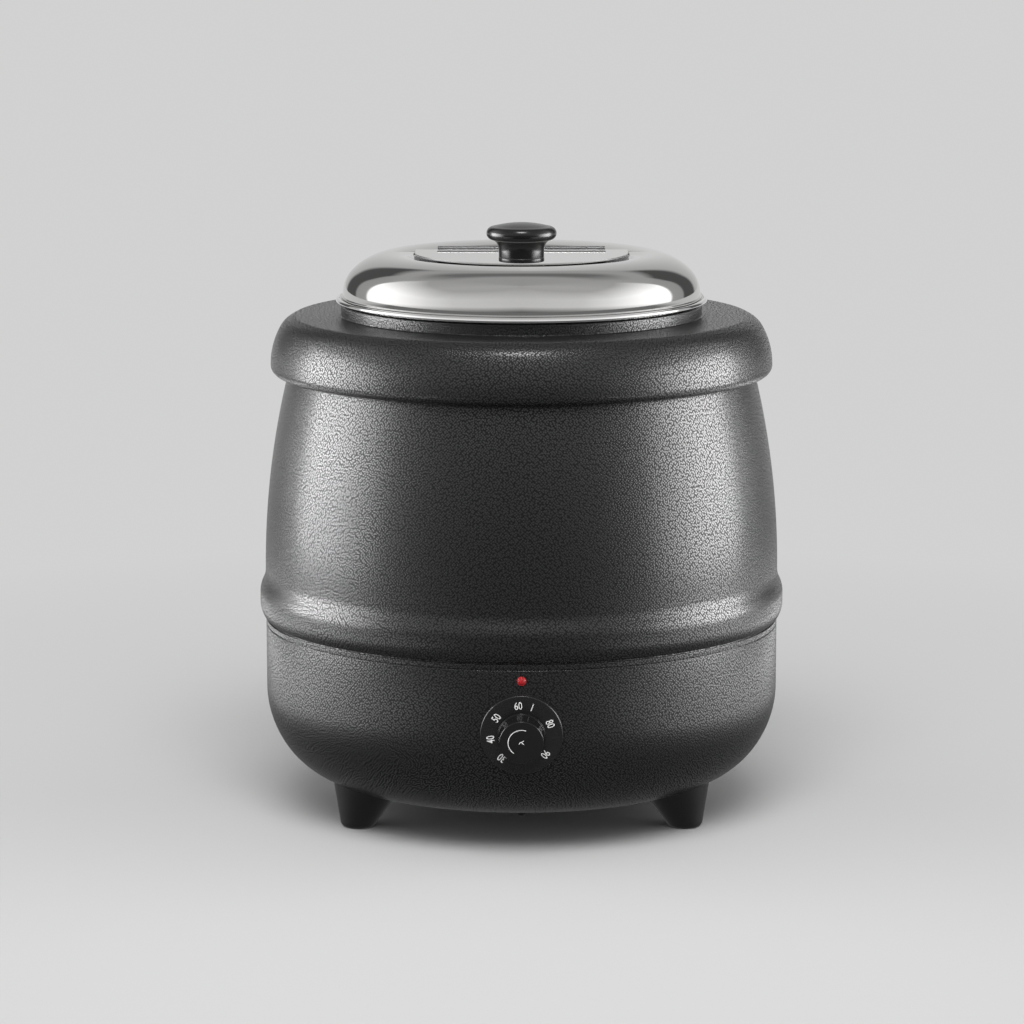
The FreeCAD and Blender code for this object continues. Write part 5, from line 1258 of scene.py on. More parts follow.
@dataclass
class Lid:
    """The polished lid, its flap, hinge and knob."""

    shop: Workshop
    wall: float = 0.8
    radius: float = 115.0
    height: float = 30.2
    crown: Sequence[float] = (32.3, 25.8, 45.0)
    band_step: float = 0.9
    band_height: float = 2.4
    rim_radius: float = 119.4
    curl_radius: float = 2.0
    curl_foot: float = 0.3
    edge_bend: float = 0.3
    rest_gap: float = 0.3
    flap_wall: float = 1.0
    flap_radius: float = 68.2
    flap_forward: float = 9.3
    flap_round: float = 0.25
    flap_round_steps: int = 4
    edge_proud: float = 0.04
    edge_drop: float = 0.25
    plan_steps: int = 96
    hatch_lap: float = 6.0
    hatch_margin: float = 5.0
    hatch_cut: float = 3.2
    hinge_y: float = 9.0
    knuckles: int = 9
    knuckle_length: float = 12.0
    knuckle_gap: float = 0.4
    knuckle_radius: float = 1.6
    roll_radius: float = 1.3
    knuckle_clearance: float = 0.4
    knuckle_bore: float = 0.85
    knuckle_segments: int = 40
    leaf_wall: float = 0.6
    leaf_bevel: float = 0.12
    leaf_bevel_steps: int = 2
    leaf_bevel_profile: float = 0.5
    fixed_depth: float = 12.0
    moving_depth: float = 16.0
    rivet_radius: float = 2.2
    rivet_height: float = 0.5
    rivet_shank: float = 1.4
    rivet_tail: float = 0.9
    rivets: int = 4
    rivet_spacing: float = 31.0
    rivet_edge: float = 4.4
    rivet_segments: int = 32
    knob_radius: float = 22.0
    stem_radius: float = 14.2
    stem_height: float = 4.4
    flare_rise: float = 6.5
    knob_rim: float = 4.2
    knob_crown: float = 2.4
    ring_height: float = 2.6
    ring_lip: float = 0.12
    ring_hole: float = 3.0
    ring_gap: float = 0.03
    ring_bend: float = 0.5
    knob_margin: float = 1.0
    knob_segments: int = 160
    segments: int = 320

    def __post_init__(self) -> None:
        """Work out the heights from the frame's lid, and the places of hinge and knob."""
        self.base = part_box("lid_dome")[0].z / MM
        self.top = self.base + self.height
        self.flap_bottom = self.top + self.rest_gap
        self.flap_top = self.flap_bottom + self.flap_wall
        self.flap_rear = self.hinge_y - self.knuckle_radius - self.knuckle_clearance
        self.hinge_z = self.top + self.rest_gap + self.knuckle_radius
        self.hinge_half = self.knuckles * self.knuckle_length / 2
        self.knob_y = self.stem_radius + self.knob_margin - self.flap_radius - self.flap_forward

    def dome_loop(self) -> list[Point]:
        """Draw the section of the lid: rolled rim, band, wall, crown and level top, with its thickness.

        Returns:
            The closed outline.
        """
        corner = Corner(self.radius, self.top, *self.crown, 1)
        band = self.radius + self.band_step
        floor, rest = self.base + self.wall, self.base + self.rest_gap
        band_top = floor + self.band_height
        flange = self.rim_radius - self.curl_radius
        outer = Outline(flange, rest).lines(
            (flange, floor), (band, floor), (band, band_top), (self.radius, band_top), corner.wall_point(0.0))
        corner.to_level(outer, 0.0).line(0.0, self.top)
        inner = Outline(band - self.wall, rest).lines(
            (band - self.wall, band_top - self.wall), (self.radius - self.wall, band_top - self.wall),
            corner.wall_point(self.wall))
        corner.to_level(inner, self.wall).line(0.0, self.top - self.wall)
        return softened(outer.points + inner.points[::-1], self.edge_bend)

    def rim(self) -> None:
        """The rim's rolled edge, rounded over to its lower corner, in a paler copy of the lid's steel as a painted
        highlight.
        """
        curl = self.rim_radius - self.curl_radius
        foot = self.base + self.curl_foot
        outline = Outline(curl - self.curl_foot, self.base)
        outline.line(self.rim_radius - self.curl_foot, self.base)
        outline.arc(self.rim_radius - self.curl_foot, foot, self.rim_radius, foot)
        outline.arc(curl, foot, curl, foot + self.curl_radius)
        outline.line(curl - self.curl_foot, foot + self.curl_radius - self.curl_foot)
        mesh = self.shop.turned("lid_rim", outline.points, RIM_HIGHLIGHT_STEEL, self.segments)
        self.shop.piece("rolled_lid_rim", mesh, Body.LID, "mirror_steel", RIM_HIGHLIGHT_STEEL)

    def plan(self, setback: float, rear: float) -> list[Point]:
        """Draw the plan of a half-round plate.

        Args:
            setback: how far it stays back from the flap's edge.
            rear: where the rear edge lies before the setback.

        Returns:
            Points in X and Y.
        """
        radius = self.flap_radius - setback
        front = []
        for index in range(self.plan_steps + 1):
            angle = math.pi + math.pi * index / self.plan_steps
            front.append((radius * math.cos(angle), radius * math.sin(angle) - self.flap_forward))
        return front + [(radius, rear - setback), (-radius, rear - setback)]

    def plate(self, name: str, levels: Sequence[Point], rear: float) -> Mesh:
        """Make a closed plate from half-round plans.

        Args:
            name: the mesh's name.
            levels: setback and height of each plan, from the lowest to the highest.
            rear: where the rear edge lies.

        Returns:
            The plate's mesh.
        """
        points: list[Spot] = []
        for setback, height in levels:
            points += [(x, y, height) for x, y in self.plan(setback, rear)]
        count = len(points) // len(levels)
        faces = [list(range(count))[::-1], list(range(len(points) - count, len(points)))]
        for low in range(0, len(points) - count, count):
            high = low + count
            for index in range(count):
                after = (index + 1) % count
                faces.append([low + index, low + after, high + after, high + index])
        return Workshop.outward(Workshop.mesh(name, points, faces))

    def dome(self) -> None:
        """The lid with the hatch that the flap covers."""
        mesh = self.shop.turned("lid_dome_shell", self.dome_loop(), MIRROR_STEEL, self.segments)
        rear = self.hinge_y - self.hatch_margin + self.hatch_lap
        levels = [(self.hatch_lap, self.top - self.hatch_cut), (self.hatch_lap, self.top + self.hatch_cut)]
        mesh = self.shop.cut(mesh, self.plate("hatch", levels, rear))
        self.shop.piece("polished_lid", mesh, Body.LID, "mirror_steel", MIRROR_STEEL, ["lid_dome"])

    def flap(self) -> None:
        """The half-round plate that lifts, with its upper edge rounded and its cut edge below."""
        levels = [(0.0, self.flap_bottom)]
        for step in range(self.flap_round_steps + 1):
            angle = QUARTER_TURN * step / self.flap_round_steps
            setback = self.flap_round * (1 - math.cos(angle))
            levels.append((setback, self.flap_top - self.flap_round * (1 - math.sin(angle))))
        mesh = self.plate("flap_plate", levels, self.flap_rear)
        self.shop.piece("polished_flap", mesh, Body.FLAP, "mirror_steel", MIRROR_STEEL, ["lid_flap"])
        levels = [(-self.edge_proud, self.flap_bottom), (-self.edge_proud, self.flap_top - self.edge_drop)]
        edge = self.plate("flap_cut_edge", levels, self.flap_rear)
        self.shop.piece("flap_cut_edge", edge, Body.FLAP, "satin_steel", CUT_EDGE)

    def knuckle(self, index: int) -> Mesh:
        """Make one knuckle with rounded ends, lying along X.

        Args:
            index: its number from the left.

        Returns:
            The knuckle's mesh.
        """
        half = (self.knuckle_length - self.knuckle_gap) / 2
        bore, roll = self.knuckle_bore, self.roll_radius
        loop = softened([(bore, -half), (roll, -half), (roll, half), (bore, half)], self.edge_bend)
        x = (index + 0.5) * self.knuckle_length - self.hinge_half
        place = moved(x, self.hinge_y, self.hinge_z) @ Matrix.Rotation(QUARTER_TURN, 4, "Y")
        return self.shop.turned("knuckle", loop, KNUCKLE_SHADE_STEEL, self.knuckle_segments, place)

    def leaf_plate(self, side: int, depth: float, bottom: float, first: int) -> Mesh:
        """Make a leaf's flat plate with a tab to each of its knuckles.

        Args:
            side: +1 behind the pin, -1 in front of it.
            depth: reach of the leaf from the pin.
            bottom: height of its underside.
            first: number of its first knuckle.

        Returns:
            The plate's mesh.
        """
        near = self.knuckle_radius + self.knuckle_clearance
        boxes = [(-self.hinge_half, self.hinge_half, near, depth)]
        for index in range(first, self.knuckles, 2):
            start = index * self.knuckle_length - self.hinge_half + self.knuckle_gap / 2
            boxes.append((start, start + self.knuckle_length - self.knuckle_gap, 0.0, near + self.leaf_wall))
        work = bmesh.new()
        for left, right, inner, outer in boxes:
            low, high = sorted((self.hinge_y + side * inner, self.hinge_y + side * outer))
            size = Vector((right - left, high - low, self.leaf_wall)) * MM
            place = moved((left + right) / 2, (low + high) / 2, bottom + self.leaf_wall / 2)
            corners = bmesh.ops.create_cube(work, size=1.0)["verts"]
            bmesh.ops.transform(work, matrix=place @ Matrix.Diagonal((*size, 1.0)), verts=corners)
        bmesh.ops.bevel(
            work, geom=list(work.edges), offset=self.leaf_bevel * MM, segments=self.leaf_bevel_steps,
            affect="EDGES", profile=self.leaf_bevel_profile)
        mesh = bpy.data.meshes.new("leaf")
        work.to_mesh(mesh)
        work.free()
        return mesh

    def rivet(self, x: float, y: float, top: float, bottom: float) -> Mesh:
        """Make one rivet with a low domed head above and a flat tail below.

        Args:
            x: its place across.
            y: its place in depth.
            top: height of the face under its head.
            bottom: height of the face over its tail.

        Returns:
            The rivet's mesh.
        """
        head, shank, end = self.rivet_radius, self.rivet_shank, bottom - self.rivet_tail
        crown = (head ** 2 + self.rivet_height ** 2) / (2 * self.rivet_height)
        outline = Outline(0.0, end).lines(
            (head, end), (head, bottom), (shank, bottom), (shank, top), (head, top))
        outline.arc(0.0, top + self.rivet_height - crown, 0.0, top + self.rivet_height)
        return self.shop.turned("rivet", outline.points, SATIN_STEEL, self.rivet_segments, moved(x, y, 0.0))

    def hinge(self) -> None:
        """Both leaves with their knuckles, and the rivets of each."""
        shop = self.shop
        first_rivet = -self.rivet_spacing * (self.rivets - 1) / 2
        leaves = (
            (Body.LID, "fixed", 0, 1, self.fixed_depth, self.top, self.top - self.wall),
            (Body.FLAP, "moving", 1, -1, self.moving_depth, self.flap_top, self.flap_bottom))
        for body, label, first, side, depth, bottom, under in leaves:
            count = len(range(first, self.knuckles, 2))
            knuckles = shop.row(self.knuckle(first), KNUCKLE_SHADE_STEEL, count, 2 * self.knuckle_length)
            shop.piece("hinge_" + label + "_knuckles", knuckles, body, "satin_steel", KNUCKLE_SHADE_STEEL)
            plate = self.leaf_plate(side, depth, bottom, first)
            node = "hinge_" + label + "_leaf"
            shop.piece("satin_" + node, plate, body, "satin_steel", LEAF_STEEL, [node])
            y = self.hinge_y + side * (depth - self.rivet_edge)
            rivet = self.rivet(first_rivet, y, bottom + self.leaf_wall, under)
            rivets = shop.row(rivet, SATIN_STEEL, self.rivets, self.rivet_spacing)
            node = label + "_leaf_rivets"
            shop.piece("satin_" + node, rivets, body, "satin_steel", SATIN_STEEL, [node])

    def knob(self) -> None:
        """The turned knob with its base ring."""
        base = self.flap_top + self.ring_height
        flare = base + self.stem_height
        rim = flare + self.flare_rise + self.knob_rim
        shoulder = self.knob_radius - self.knob_rim
        run = shoulder - self.stem_radius
        flare_bend = (run ** 2 + self.flare_rise ** 2) / (2 * run)
        crown = (shoulder ** 2 + self.knob_crown ** 2) / (2 * self.knob_crown)
        top = rim + self.knob_rim
        outline = Outline(0.0, base).lines((self.stem_radius, base), (self.stem_radius, flare))
        outline.arc(self.stem_radius + flare_bend, flare, shoulder, flare + self.flare_rise)
        outline.arc(shoulder, rim, self.knob_radius, rim)
        outline.arc(shoulder, rim, shoulder, top)
        outline.arc(0.0, top + self.knob_crown - crown, 0.0, top + self.knob_crown)
        hole, outer, ring_top = self.ring_hole, self.stem_radius + self.ring_lip, base - self.ring_gap
        ring = [(hole, self.flap_top), (outer, self.flap_top), (outer, ring_top), (hole, ring_top)]
        place = moved(0.0, self.knob_y, 0.0)
        for node, loop, bend in (("lid_knob", outline.points, self.edge_bend), ("knob_ring", ring, self.ring_bend)):
            mesh = self.shop.turned(node, softened(loop, bend), GLOSS_BLACK, self.knob_segments, place)
            self.shop.piece("turned_" + node, mesh, Body.FLAP, "gloss_black", GLOSS_BLACK, [node])

    def build(self) -> None:
        """Make and dress all of the lid."""
        self.dome()
        self.rim()
        self.flap()
        self.hinge()
        self.knob()


@dataclass
class FrontPanel:
    """Dial and pilot lamp at the front."""

    shop: Workshop
    plate_front: float = 1.6
    gap: float = 0.5
    base_radius: float = 15.0
    face_radius: float = 13.6
    knob_height: float = 13.1
    hollow_radius: float = 10.5
    hollow_depth: float = 5.0
    face_round: float = 0.8
    skirt_step: float = 0.7
    skirt_height: float = 2.4
    knob_segments: int = 160
    numeral_circle: float = 18.9
    numeral_height: float = 5.0
    numeral_scale: float = 1.38
    numeral_width: float = 0.74
    numeral_weight: float = 0.02
    numerals: Sequence[tuple[str, float]] = (
        ("30", -141.0), ("40", -98.0), ("50", -54.0), ("60", -6.0), ("I", 20.0), ("80", 67.0), ("90", 130.0))
    ink: float = 0.04
    arc_radius: float = 8.2
    arc_start: float = 20.0
    arc_end: float = -145.0
    arc_steps: int = 32
    pointer: Sequence[Point] = ((-1.5, -0.9), (-0.9, 0.2), (0.1, 0.5), (1.5, 1.3))
    barb: Sequence[Point] = ((0.1, 0.5), (0.5, -0.3), (1.5, -1.0))
    mark_width: float = 0.42
    lens_radius: float = 2.5
    lens_flange: float = 2.9
    lens_flange_height: float = 0.8
    lens_dome: float = 1.5
    lens_tube: float = 9.0
    lens_round: float = 0.2
    lens_segments: int = 64

    def __post_init__(self) -> None:
        """Place the dial on its joint's axis and the lamp in the pan's wall."""
        joint = next(joint for joint in self.shop.frame["joints"] if joint["name"] == DIAL_JOINT)
        out = Vector(joint["axis"]).normalized()
        across = Vector((1.0, 0.0, 0.0))
        turn = Matrix((across, out.cross(across), out)).transposed().to_4x4()
        self.dial_frame = Matrix.Translation(Vector(joint["pos_m"])) @ turn
        low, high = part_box("lamp_lens")
        middle = (low + high) / 2
        pan = -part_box("base_pan")[1].x
        facing = Matrix.Rotation(QUARTER_TURN, 4, "X")
        self.lamp_frame = Matrix.Translation((middle.x, pan, middle.z)) @ facing
        self.back = self.plate_front + self.gap
        self.face = self.back + self.knob_height

    def knob(self) -> None:
        """The tapered knob, hollow behind."""
        base, back, hollow = self.base_radius, self.back, self.hollow_radius
        skirt, floor = back + self.skirt_height, back + self.hollow_depth
        loop = [
            (0.0, self.face), (self.face_radius, self.face), (base - self.skirt_step, skirt), (base, skirt),
            (base, back), (hollow, back), (hollow, floor), (0.0, floor)]
        mesh = self.shop.turned(
            "dial_cap", softened(loop, self.face_round), DIAL_KNOB_BLACK, self.knob_segments, self.dial_frame)
        self.shop.piece("tapered_dial_knob", mesh, Body.DIAL, "dial_black", DIAL_KNOB_BLACK, ["dial_knob"])

    def numeral(self, text: str, angle: float) -> Mesh:
        """Make one printed number as a flat mesh on the dial plate, its top pointing outwards.

        Args:
            text: the number.
            angle: degrees round the dial from its top.

        Returns:
            The number's mesh.
        """
        curve = bpy.data.curves.new("numeral", "FONT")
        curve.body = text
        curve.align_x = "CENTER"
        curve.align_y = "CENTER"
        curve.size = self.numeral_scale * self.numeral_height * MM
        curve.extrude = self.ink * MM
        curve.offset = self.numeral_weight * MM
        holder = in_scene("numeral", curve)
        mesh = plain_mesh(holder)
        bpy.data.objects.remove(holder)
        turn = self.dial_frame @ Matrix.Rotation(math.radians(-angle), 4, "Z")
        narrow = Matrix.Diagonal((self.numeral_width, 1.0, 1.0, 1.0))
        mesh.transform(turn @ moved(0.0, self.numeral_circle, self.plate_front) @ narrow)
        return Workshop.outward(mesh)

    def strip(self, points: Sequence[Point]) -> Mesh:
        """Make a printed line on the knob's face.

        Args:
            points: the points that it follows.

        Returns:
            The line's mesh.
        """
        work: list[Spot] = []
        for index, point in enumerate(points):
            before, after = points[max(index - 1, 0)], points[min(index + 1, len(points) - 1)]
            along = (Vector(after) - Vector(before)).normalized()
            aside = Vector((-along.y, along.x)) * (self.mark_width / 2)
            for side in (-1, 1):
                spot = Vector(point) + side * aside
                work += [(spot.x, spot.y, self.face - self.ink), (spot.x, spot.y, self.face + self.ink)]
        section = len(work) // len(points)
        last = len(work) - section
        faces = [[0, 1, 3, 2], [last, last + 2, last + 3, last + 1]]
        for a in range(0, last, section):
            faces += [[a, a + 4, a + 5, a + 1], [a + 2, a + 3, a + 7, a + 6]]
            faces += [[a + 1, a + 5, a + 7, a + 3], [a, a + 2, a + 6, a + 4]]
        mesh = Workshop.outward(Workshop.mesh("print", work, faces))
        mesh.transform(self.dial_frame)
        return mesh

    def print_marks(self) -> None:
        """Numbers on the plate, an arc and a pointer on the knob's face."""
        numbers = self.shop.joined([self.numeral(text, angle) for text, angle in self.numerals])
        self.shop.piece("dial_numbers", numbers, Body.KETTLE, "dial_black", LIGHT_PRINT)
        arc = []
        for index in range(self.arc_steps + 1):
            angle = math.radians(self.arc_start + (self.arc_end - self.arc_start) * index / self.arc_steps)
            arc.append((self.arc_radius * math.sin(angle), self.arc_radius * math.cos(angle)))
        marks = self.shop.joined([self.strip(points) for points in (arc, self.pointer, self.barb)])
        self.shop.piece("dial_marks", marks, Body.DIAL, "dial_black", LIGHT_PRINT)

    def lens(self) -> None:
        """The domed lens with its small flange and its tube."""
        radius, flange, front = self.lens_radius, self.lens_flange, self.lens_flange_height
        bend = (radius ** 2 + self.lens_dome ** 2) / (2 * self.lens_dome)
        crown = front + self.lens_dome
        outline = Outline(0.0, -self.lens_tube).lines(
            (radius, -self.lens_tube), (radius, 0.0), (flange, 0.0), (flange, front), (radius, front))
        outline.arc(0.0, crown - bend, 0.0, crown)
        loop = softened(outline.points, self.lens_round)
        mesh = self.shop.turned("lens", loop, RED_LENS, self.lens_segments, self.lamp_frame)
        self.shop.piece("domed_lamp_lens", mesh, Body.KETTLE, "lens_red", RED_LENS, ["lamp_lens"])

    def build(self) -> None:
        """Make and dress dial and lamp."""
        self.knob()
        self.print_marks()
        self.lens()


# Studio

@dataclass(frozen=True)
class Softbox:
    """A large lamp with soft edges, turned towards the kettle.

    Attributes:
        name: the lamp's name.
        azimuth: degrees round from the camera's side, positive to the right.
        place: distance from the axis and height.
        size: width and height.
        glow: brightness of its middle.
        fade: shares over which its two side edges, and its top and bottom, fade.
        aim: height on the axis that it faces.
    """

    name: str
    azimuth: float
    place: Sequence[float]
    size: Sequence[float]
    glow: float
    fade: Sequence[float]
    aim: float

    def strength(self, wiring: Wiring) -> NodeSocket:
        """Fade the lamp out towards its edges.

        Args:
            wiring: the wiring of the lamp's tree.

        Returns:
            The strength at a spot of the lamp.
        """
        middle = 0.5
        first_side, second_side, ends = self.fade
        spot = wiring.out("ShaderNodeNewGeometry", None, "Parametric")
        across, along, _ = wiring.add("ShaderNodeSeparateXYZ", {0: spot}).outputs
        rise = wiring.share(across, 0.0, first_side)
        fall = wiring.share(across, 1.0, 1.0 - second_side)
        offset = wiring.size(wiring.less(along, middle))
        return wiring.times(wiring.times(rise, fall), wiring.share(offset, middle, middle - ends))

    def build(self) -> Object:
        """Hang the lamp.

        Returns:
            The lamp.
        """
        lamp = bpy.data.lights.new(self.name, "AREA")
        lamp.shape = "RECTANGLE"
        lamp.size, lamp.size_y = self.size
        lamp.energy = LAMP_POWER * self.size[0] * self.size[1] * self.glow
        lamp.use_nodes = True
        wiring = Wiring(lamp.node_tree)
        emission = next(node for node in lamp.node_tree.nodes if node.type == "EMISSION")
        wiring.put(emission.inputs["Strength"], self.strength(wiring))
        distance, height = self.place
        turn = math.radians(self.azimuth)
        spot = Vector((distance * math.sin(turn), -distance * math.cos(turn), height))
        made = in_scene(self.name, lamp)
        made.location = spot
        made.rotation_euler = (Vector((0.0, 0.0, self.aim)) - spot).to_track_quat("-Z", "Y").to_euler()
        log.info("lamp %s: %.1f W", self.name, lamp.energy)
        return made


@dataclass
class Studio:
    """Floor, lights, surroundings and camera."""

    shop: Workshop
    floor_reach: float = 20.0
    floor_colour: Colour = (0.64, 0.64, 0.64)
    far_colour: Colour = (0.64, 0.64, 0.64)
    mirrored_front: float = 0.2
    mirrored_rear: float = 0.66
    mirrored_depth: Sequence[float] = (0.3, 2.0)
    # painted light: how bright the floor glows beside the kettle, seen only in reflections
    side_light_pool: float = 2.6
    side_start: Sequence[float] = (0.3, 0.5)
    side_end: Sequence[float] = (0.7, 0.95)
    shadow_edge: Sequence[float] = (0.32, 0.95)
    camera_place: Sequence[float] = (0.0, -2.6, 0.6428)
    camera_pitch: float = 9.77
    camera_reach: float = 100.0
    focal_pixels: float = 4062.8
    picture_pixels: float = 1024.0
    sensor: float = 36.0
    middle_pixels: float = -9.5
    room_level: float = 0.8
    horizon_dim: float = 0.8
    horizon_sag: float = 0.3
    horizon_top: float = 0.2
    horizon_end: Sequence[float] = (0.62, 0.66)
    low_tones: Sequence[Point] = (
        (0.0, 0.73), (0.22, 0.80), (0.33, 1.03), (0.45, 1.45), (0.53, 1.7), (0.64, 1.7), (0.655, 0.42),
        (0.73, 0.38), (0.745, 0.09), (0.84, 0.09), (0.865, 0.5), (1.0, 0.68))
    high_tones: Sequence[Point] = ((0.0, 0.48), (0.5, 0.52), (0.75, 0.43), (1.0, 0.41))
    middle_edge: Sequence[float] = (0.46, 0.93)
    high_edge: Sequence[float] = (0.31, 0.63)
    middle_reach: Sequence[float] = (0.08, 0.36)
    strip_edge: Sequence[float] = (0.41, 0.47)
    strip_start: Sequence[float] = (0.62, 0.66)
    rear_start: Sequence[float] = (0.72, 0.86)
    rear_band_height: float = 0.62
    rear_band_edge: Sequence[float] = (0.03, 0.1)
    rear_band_dim: float = 0.55
    lean: float = 0.15
    right_turn: float = 0.03
    side_lamps: Sequence[Softbox] = (
        Softbox("left_softbox", -87.0, (1.0, 0.35), (1.1, 0.7), 11.3, (0.2, 0.5, 0.14), 0.35),
        Softbox("right_softbox", 82.0, (1.0, 0.35), (1.1, 0.7), 11.3, (0.5, 0.2, 0.14), 0.35))
    glint_lamp: Softbox = Softbox("collar_glint", 0.0, (0.62, 1.5), (0.55, 0.6), 16.0, (0.4, 0.4, 0.3), 0.3)
    front_lamp: Softbox = Softbox("front_softbox", 0.0, (2.6, 2.9), (3.2, 2.4), 7.6, (0.3, 0.3, 0.3), 0.1)
    bright_pieces: Sequence[str] = ("polished_lid", "rolled_lid_rim", "polished_flap", "flap_cut_edge")
    bright_nodes: Sequence[str] = ("inner_pot", "water_well")
    knob_pieces: Sequence[str] = ("turned_lid_knob", "turned_knob_ring")
    knob_nodes: Sequence[str] = ("knob_screw",)

    def floor_tone(self, wiring: Wiring, place: NodeSocket, distance: NodeSocket) -> NodeSocket:
        """Work out the painted tone that polished faces mirror from the floor, a glow that the camera doesn't see.

        Args:
            wiring: the wiring of the floor's tree.
            place: the spot on the floor.
            distance: its distance from the kettle's axis.

        Returns:
            The tone: dark in front, pale behind, and a painted pool of light close to the kettle's sides.
        """
        across, depth, _ = wiring.add("ShaderNodeSeparateXYZ", {0: place}).outputs
        plain = wiring.between(depth, *self.mirrored_depth, self.mirrored_front, self.mirrored_rear)
        aside = wiring.between(wiring.size(across), *self.side_start, 0.0, self.side_light_pool)
        return wiring.plus(plain, wiring.times(aside, wiring.between(distance, *self.side_end, 1.0, 0.0)))

    def floor(self) -> None:
        """A plain pale floor that keeps the shadow near the kettle and an even tone far away."""
        reach = self.floor_reach
        corners = [(-reach, -reach, 0), (reach, -reach, 0), (reach, reach, 0), (-reach, reach, 0)]
        mesh = bpy.data.meshes.new("floor")
        mesh.from_pydata(corners, [], [(0, 1, 2, 3)])
        made = in_scene("floor", mesh)
        material = bpy.data.materials.new("studio_floor")
        wiring = cleared(material)
        place = wiring.out("ShaderNodeTexCoord", None, "Object")
        distance = wiring.out("ShaderNodeVectorMath", {0: place}, "Value", operation="LENGTH")
        path = wiring.add("ShaderNodeLightPath").outputs
        seen = wiring.math("MAXIMUM", path["Is Camera Ray"], path["Is Transmission Ray"])
        far = wiring.share(distance, *self.shadow_edge)
        share = wiring.math("MAXIMUM", wiring.times(far, seen), path["Is Glossy Ray"])
        matt = wiring.out("ShaderNodeBsdfDiffuse", {"Color": self.floor_colour})
        # painted light: glossy rays see this glowing tone instead of the lit floor
        mirrored = self.floor_tone(wiring, place, distance)
        tone = wiring.blend(path["Is Camera Ray"], mirrored, self.far_colour)
        even = wiring.out("ShaderNodeEmission", {"Color": tone})
        mixed = wiring.out("ShaderNodeMixShader", {0: share, 1: matt, 2: even})
        wiring.add("ShaderNodeOutputMaterial", {"Surface": mixed})
        mesh.materials.append(material)

    @staticmethod
    def tones(wiring: Wiring, value: NodeSocket, stops: Sequence[Point]) -> NodeSocket:
        """Make a grey tone that follows a value.

        Args:
            wiring: the wiring of the tree.
            value: the value, from 0 to 1.
            stops: values with their tones, in order.

        Returns:
            The tone.
        """
        ramp = wiring.add("ShaderNodeValToRGB", {0: value})
        elements = ramp.color_ramp.elements
        elements[0].position, elements[1].position = stops[0][0], stops[-1][0]
        for position, _ in stops[1:-1]:
            elements.new(position)
        for element, (_, tone) in zip(elements, stops):
            element.color = (tone, tone, tone, 1.0)
        return ramp.outputs[0]

    def tent(self, wiring: Wiring, azimuth: NodeSocket, height: NodeSocket, on_right: NodeSocket) -> NodeSocket:
        """Work out the tone of the pale tent.

        Args:
            wiring: the wiring of the world's tree.
            azimuth: way round from the camera's side, from 0 to 1 behind the kettle.
            height: way up from level, as 0 to 1.
            on_right: 1 on the right.

        Returns:
            The tone: bright at the sides, dark strips behind them, an even backdrop, dimmer above.
        """
        leant = wiring.less(azimuth, wiring.times(height, self.lean))
        leant = wiring.plus(leant, wiring.times(on_right, self.right_turn))
        low = self.tones(wiring, leant, self.low_tones)
        high = self.tones(wiring, azimuth, self.high_tones)
        edges = []
        for middle, side, strip in zip(self.middle_edge, self.high_edge, self.strip_edge):
            edge = wiring.between(azimuth, *self.middle_reach, middle, side)
            edges.append(wiring.between(leant, *self.strip_start, edge, strip))
        return wiring.blend(wiring.share(height, *edges), low, high)

    def surroundings(self) -> None:
        """A pale tent with a dim horizon in front and a dim band high up behind."""
        world = bpy.data.worlds.new("studio")
        wiring = cleared(world)
        way = wiring.out("ShaderNodeTexCoord", None, "Generated")
        across, depth, up = wiring.add("ShaderNodeSeparateXYZ", {0: way}).outputs
        azimuth = wiring.size(wiring.math("ARCTAN2", across, wiring.times(depth, -1.0)))
        azimuth = wiring.over(azimuth, math.pi)
        height = wiring.over(wiring.math("ARCSINE", up), QUARTER_TURN)
        tone = self.tent(wiring, azimuth, height, wiring.math("GREATER_THAN", across, 0.0))
        in_front = wiring.between(azimuth, *self.horizon_end, 1.0, 0.0)
        lifted = wiring.plus(height, wiring.times(azimuth, self.horizon_sag))
        horizon = wiring.between(lifted, 0.0, self.horizon_top, self.horizon_dim, 0.0)
        behind = wiring.share(azimuth, *self.rear_start)
        offset = wiring.size(wiring.less(height, self.rear_band_height))
        band = wiring.between(offset, *self.rear_band_edge, self.rear_band_dim, 0.0)
        for dim in (wiring.times(in_front, horizon), wiring.times(behind, band)):
            tone = wiring.blend(dim, tone, NO_LIGHT)
        path = wiring.add("ShaderNodeLightPath").outputs
        level = wiring.spread(path["Is Glossy Ray"], self.room_level, 1.0)
        shown = wiring.out("ShaderNodeBackground", {"Color": tone, "Strength": level})
        wiring.add("ShaderNodeOutputWorld", {"Surface": shown})
        bpy.context.scene.world = world

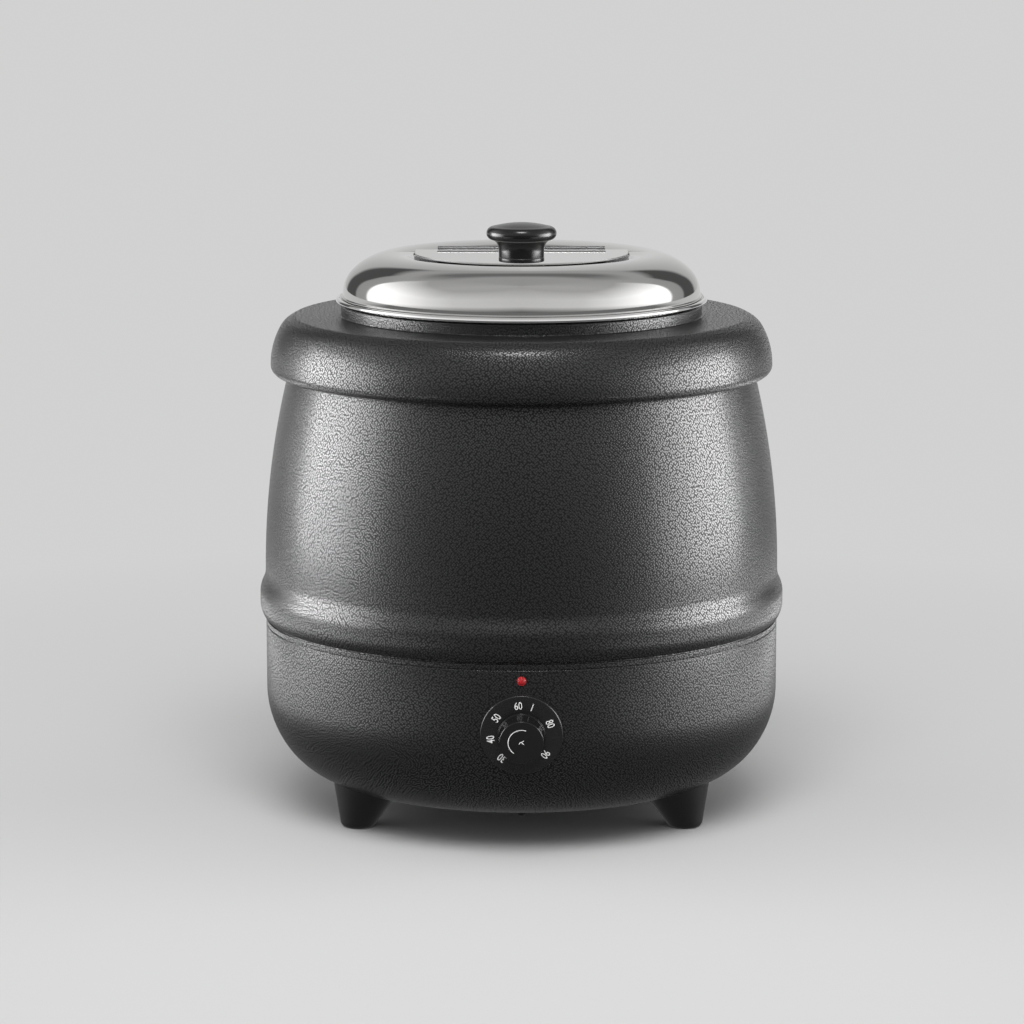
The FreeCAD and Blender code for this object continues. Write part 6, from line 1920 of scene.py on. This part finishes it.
    def camera(self) -> None:
        """The camera in front of the kettle, looking a little down at it."""
        data = bpy.data.cameras.new("camera")
        data.sensor_width = self.sensor
        data.lens = self.focal_pixels / self.picture_pixels * self.sensor
        data.shift_x = self.middle_pixels / self.picture_pixels
        data.clip_end = self.camera_reach
        made = in_scene("camera", data)
        made.location = self.camera_place
        made.rotation_euler = (math.radians(90.0 - self.camera_pitch), 0.0, 0.0)
        bpy.context.scene.camera = made

    def found(self, pieces: Sequence[str], nodes: Sequence[str]) -> list[Object]:
        """Objects of pieces and of the frame's nodes, by their names."""
        return [self.shop.pieces[name] for name in pieces] + [self.shop.frame["nodes"][name] for name in nodes]

    @staticmethod
    def spare(lamp: Object, spared: Sequence[Object]) -> None:
        """Keep a lamp off some objects.

        Args:
            lamp: the lamp.
            spared: the objects that it doesn't light.
        """
        group = bpy.data.collections.new(lamp.name + "_spares")
        for item in spared:
            group.objects.link(item)
        lamp.light_linking.receiver_collection = group
        for entry in group.collection_objects:
            entry.light_linking.link_state = "EXCLUDE"

    def lights(self) -> None:
        """Lamps for the highlights of the painted shells, and one for all the rest."""
        bright = self.found(self.bright_pieces, self.bright_nodes)
        for softbox in (*self.side_lamps, self.glint_lamp):
            lamp = softbox.build()
            lamp.visible_diffuse = False
            self.spare(lamp, bright)
        self.front_lamp.build().visible_glossy = False
        for hidden in self.found(self.knob_pieces, self.knob_nodes):
            hidden.visible_glossy = False

    def build(self) -> None:
        """Set up the studio."""
        self.camera()
        self.floor()
        self.surroundings()
        self.lights()
        bpy.context.scene.view_settings.view_transform = "Standard"


def main() -> None:
    """Build the kettle's looks and its studio in order."""
    logging.basicConfig(level=logging.INFO, format="%(name)s: %(message)s")
    for item in list(bpy.data.objects):
        if item.name in STARTUP_OBJECTS:
            bpy.data.objects.remove(item)
    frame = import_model()
    shop = Workshop(frame)
    shop.dress_frame()
    for assembly in (BodyShells(shop), Lid(shop), FrontPanel(shop), Studio(shop)):
        assembly.build()


if __name__ == "__main__":
    main()
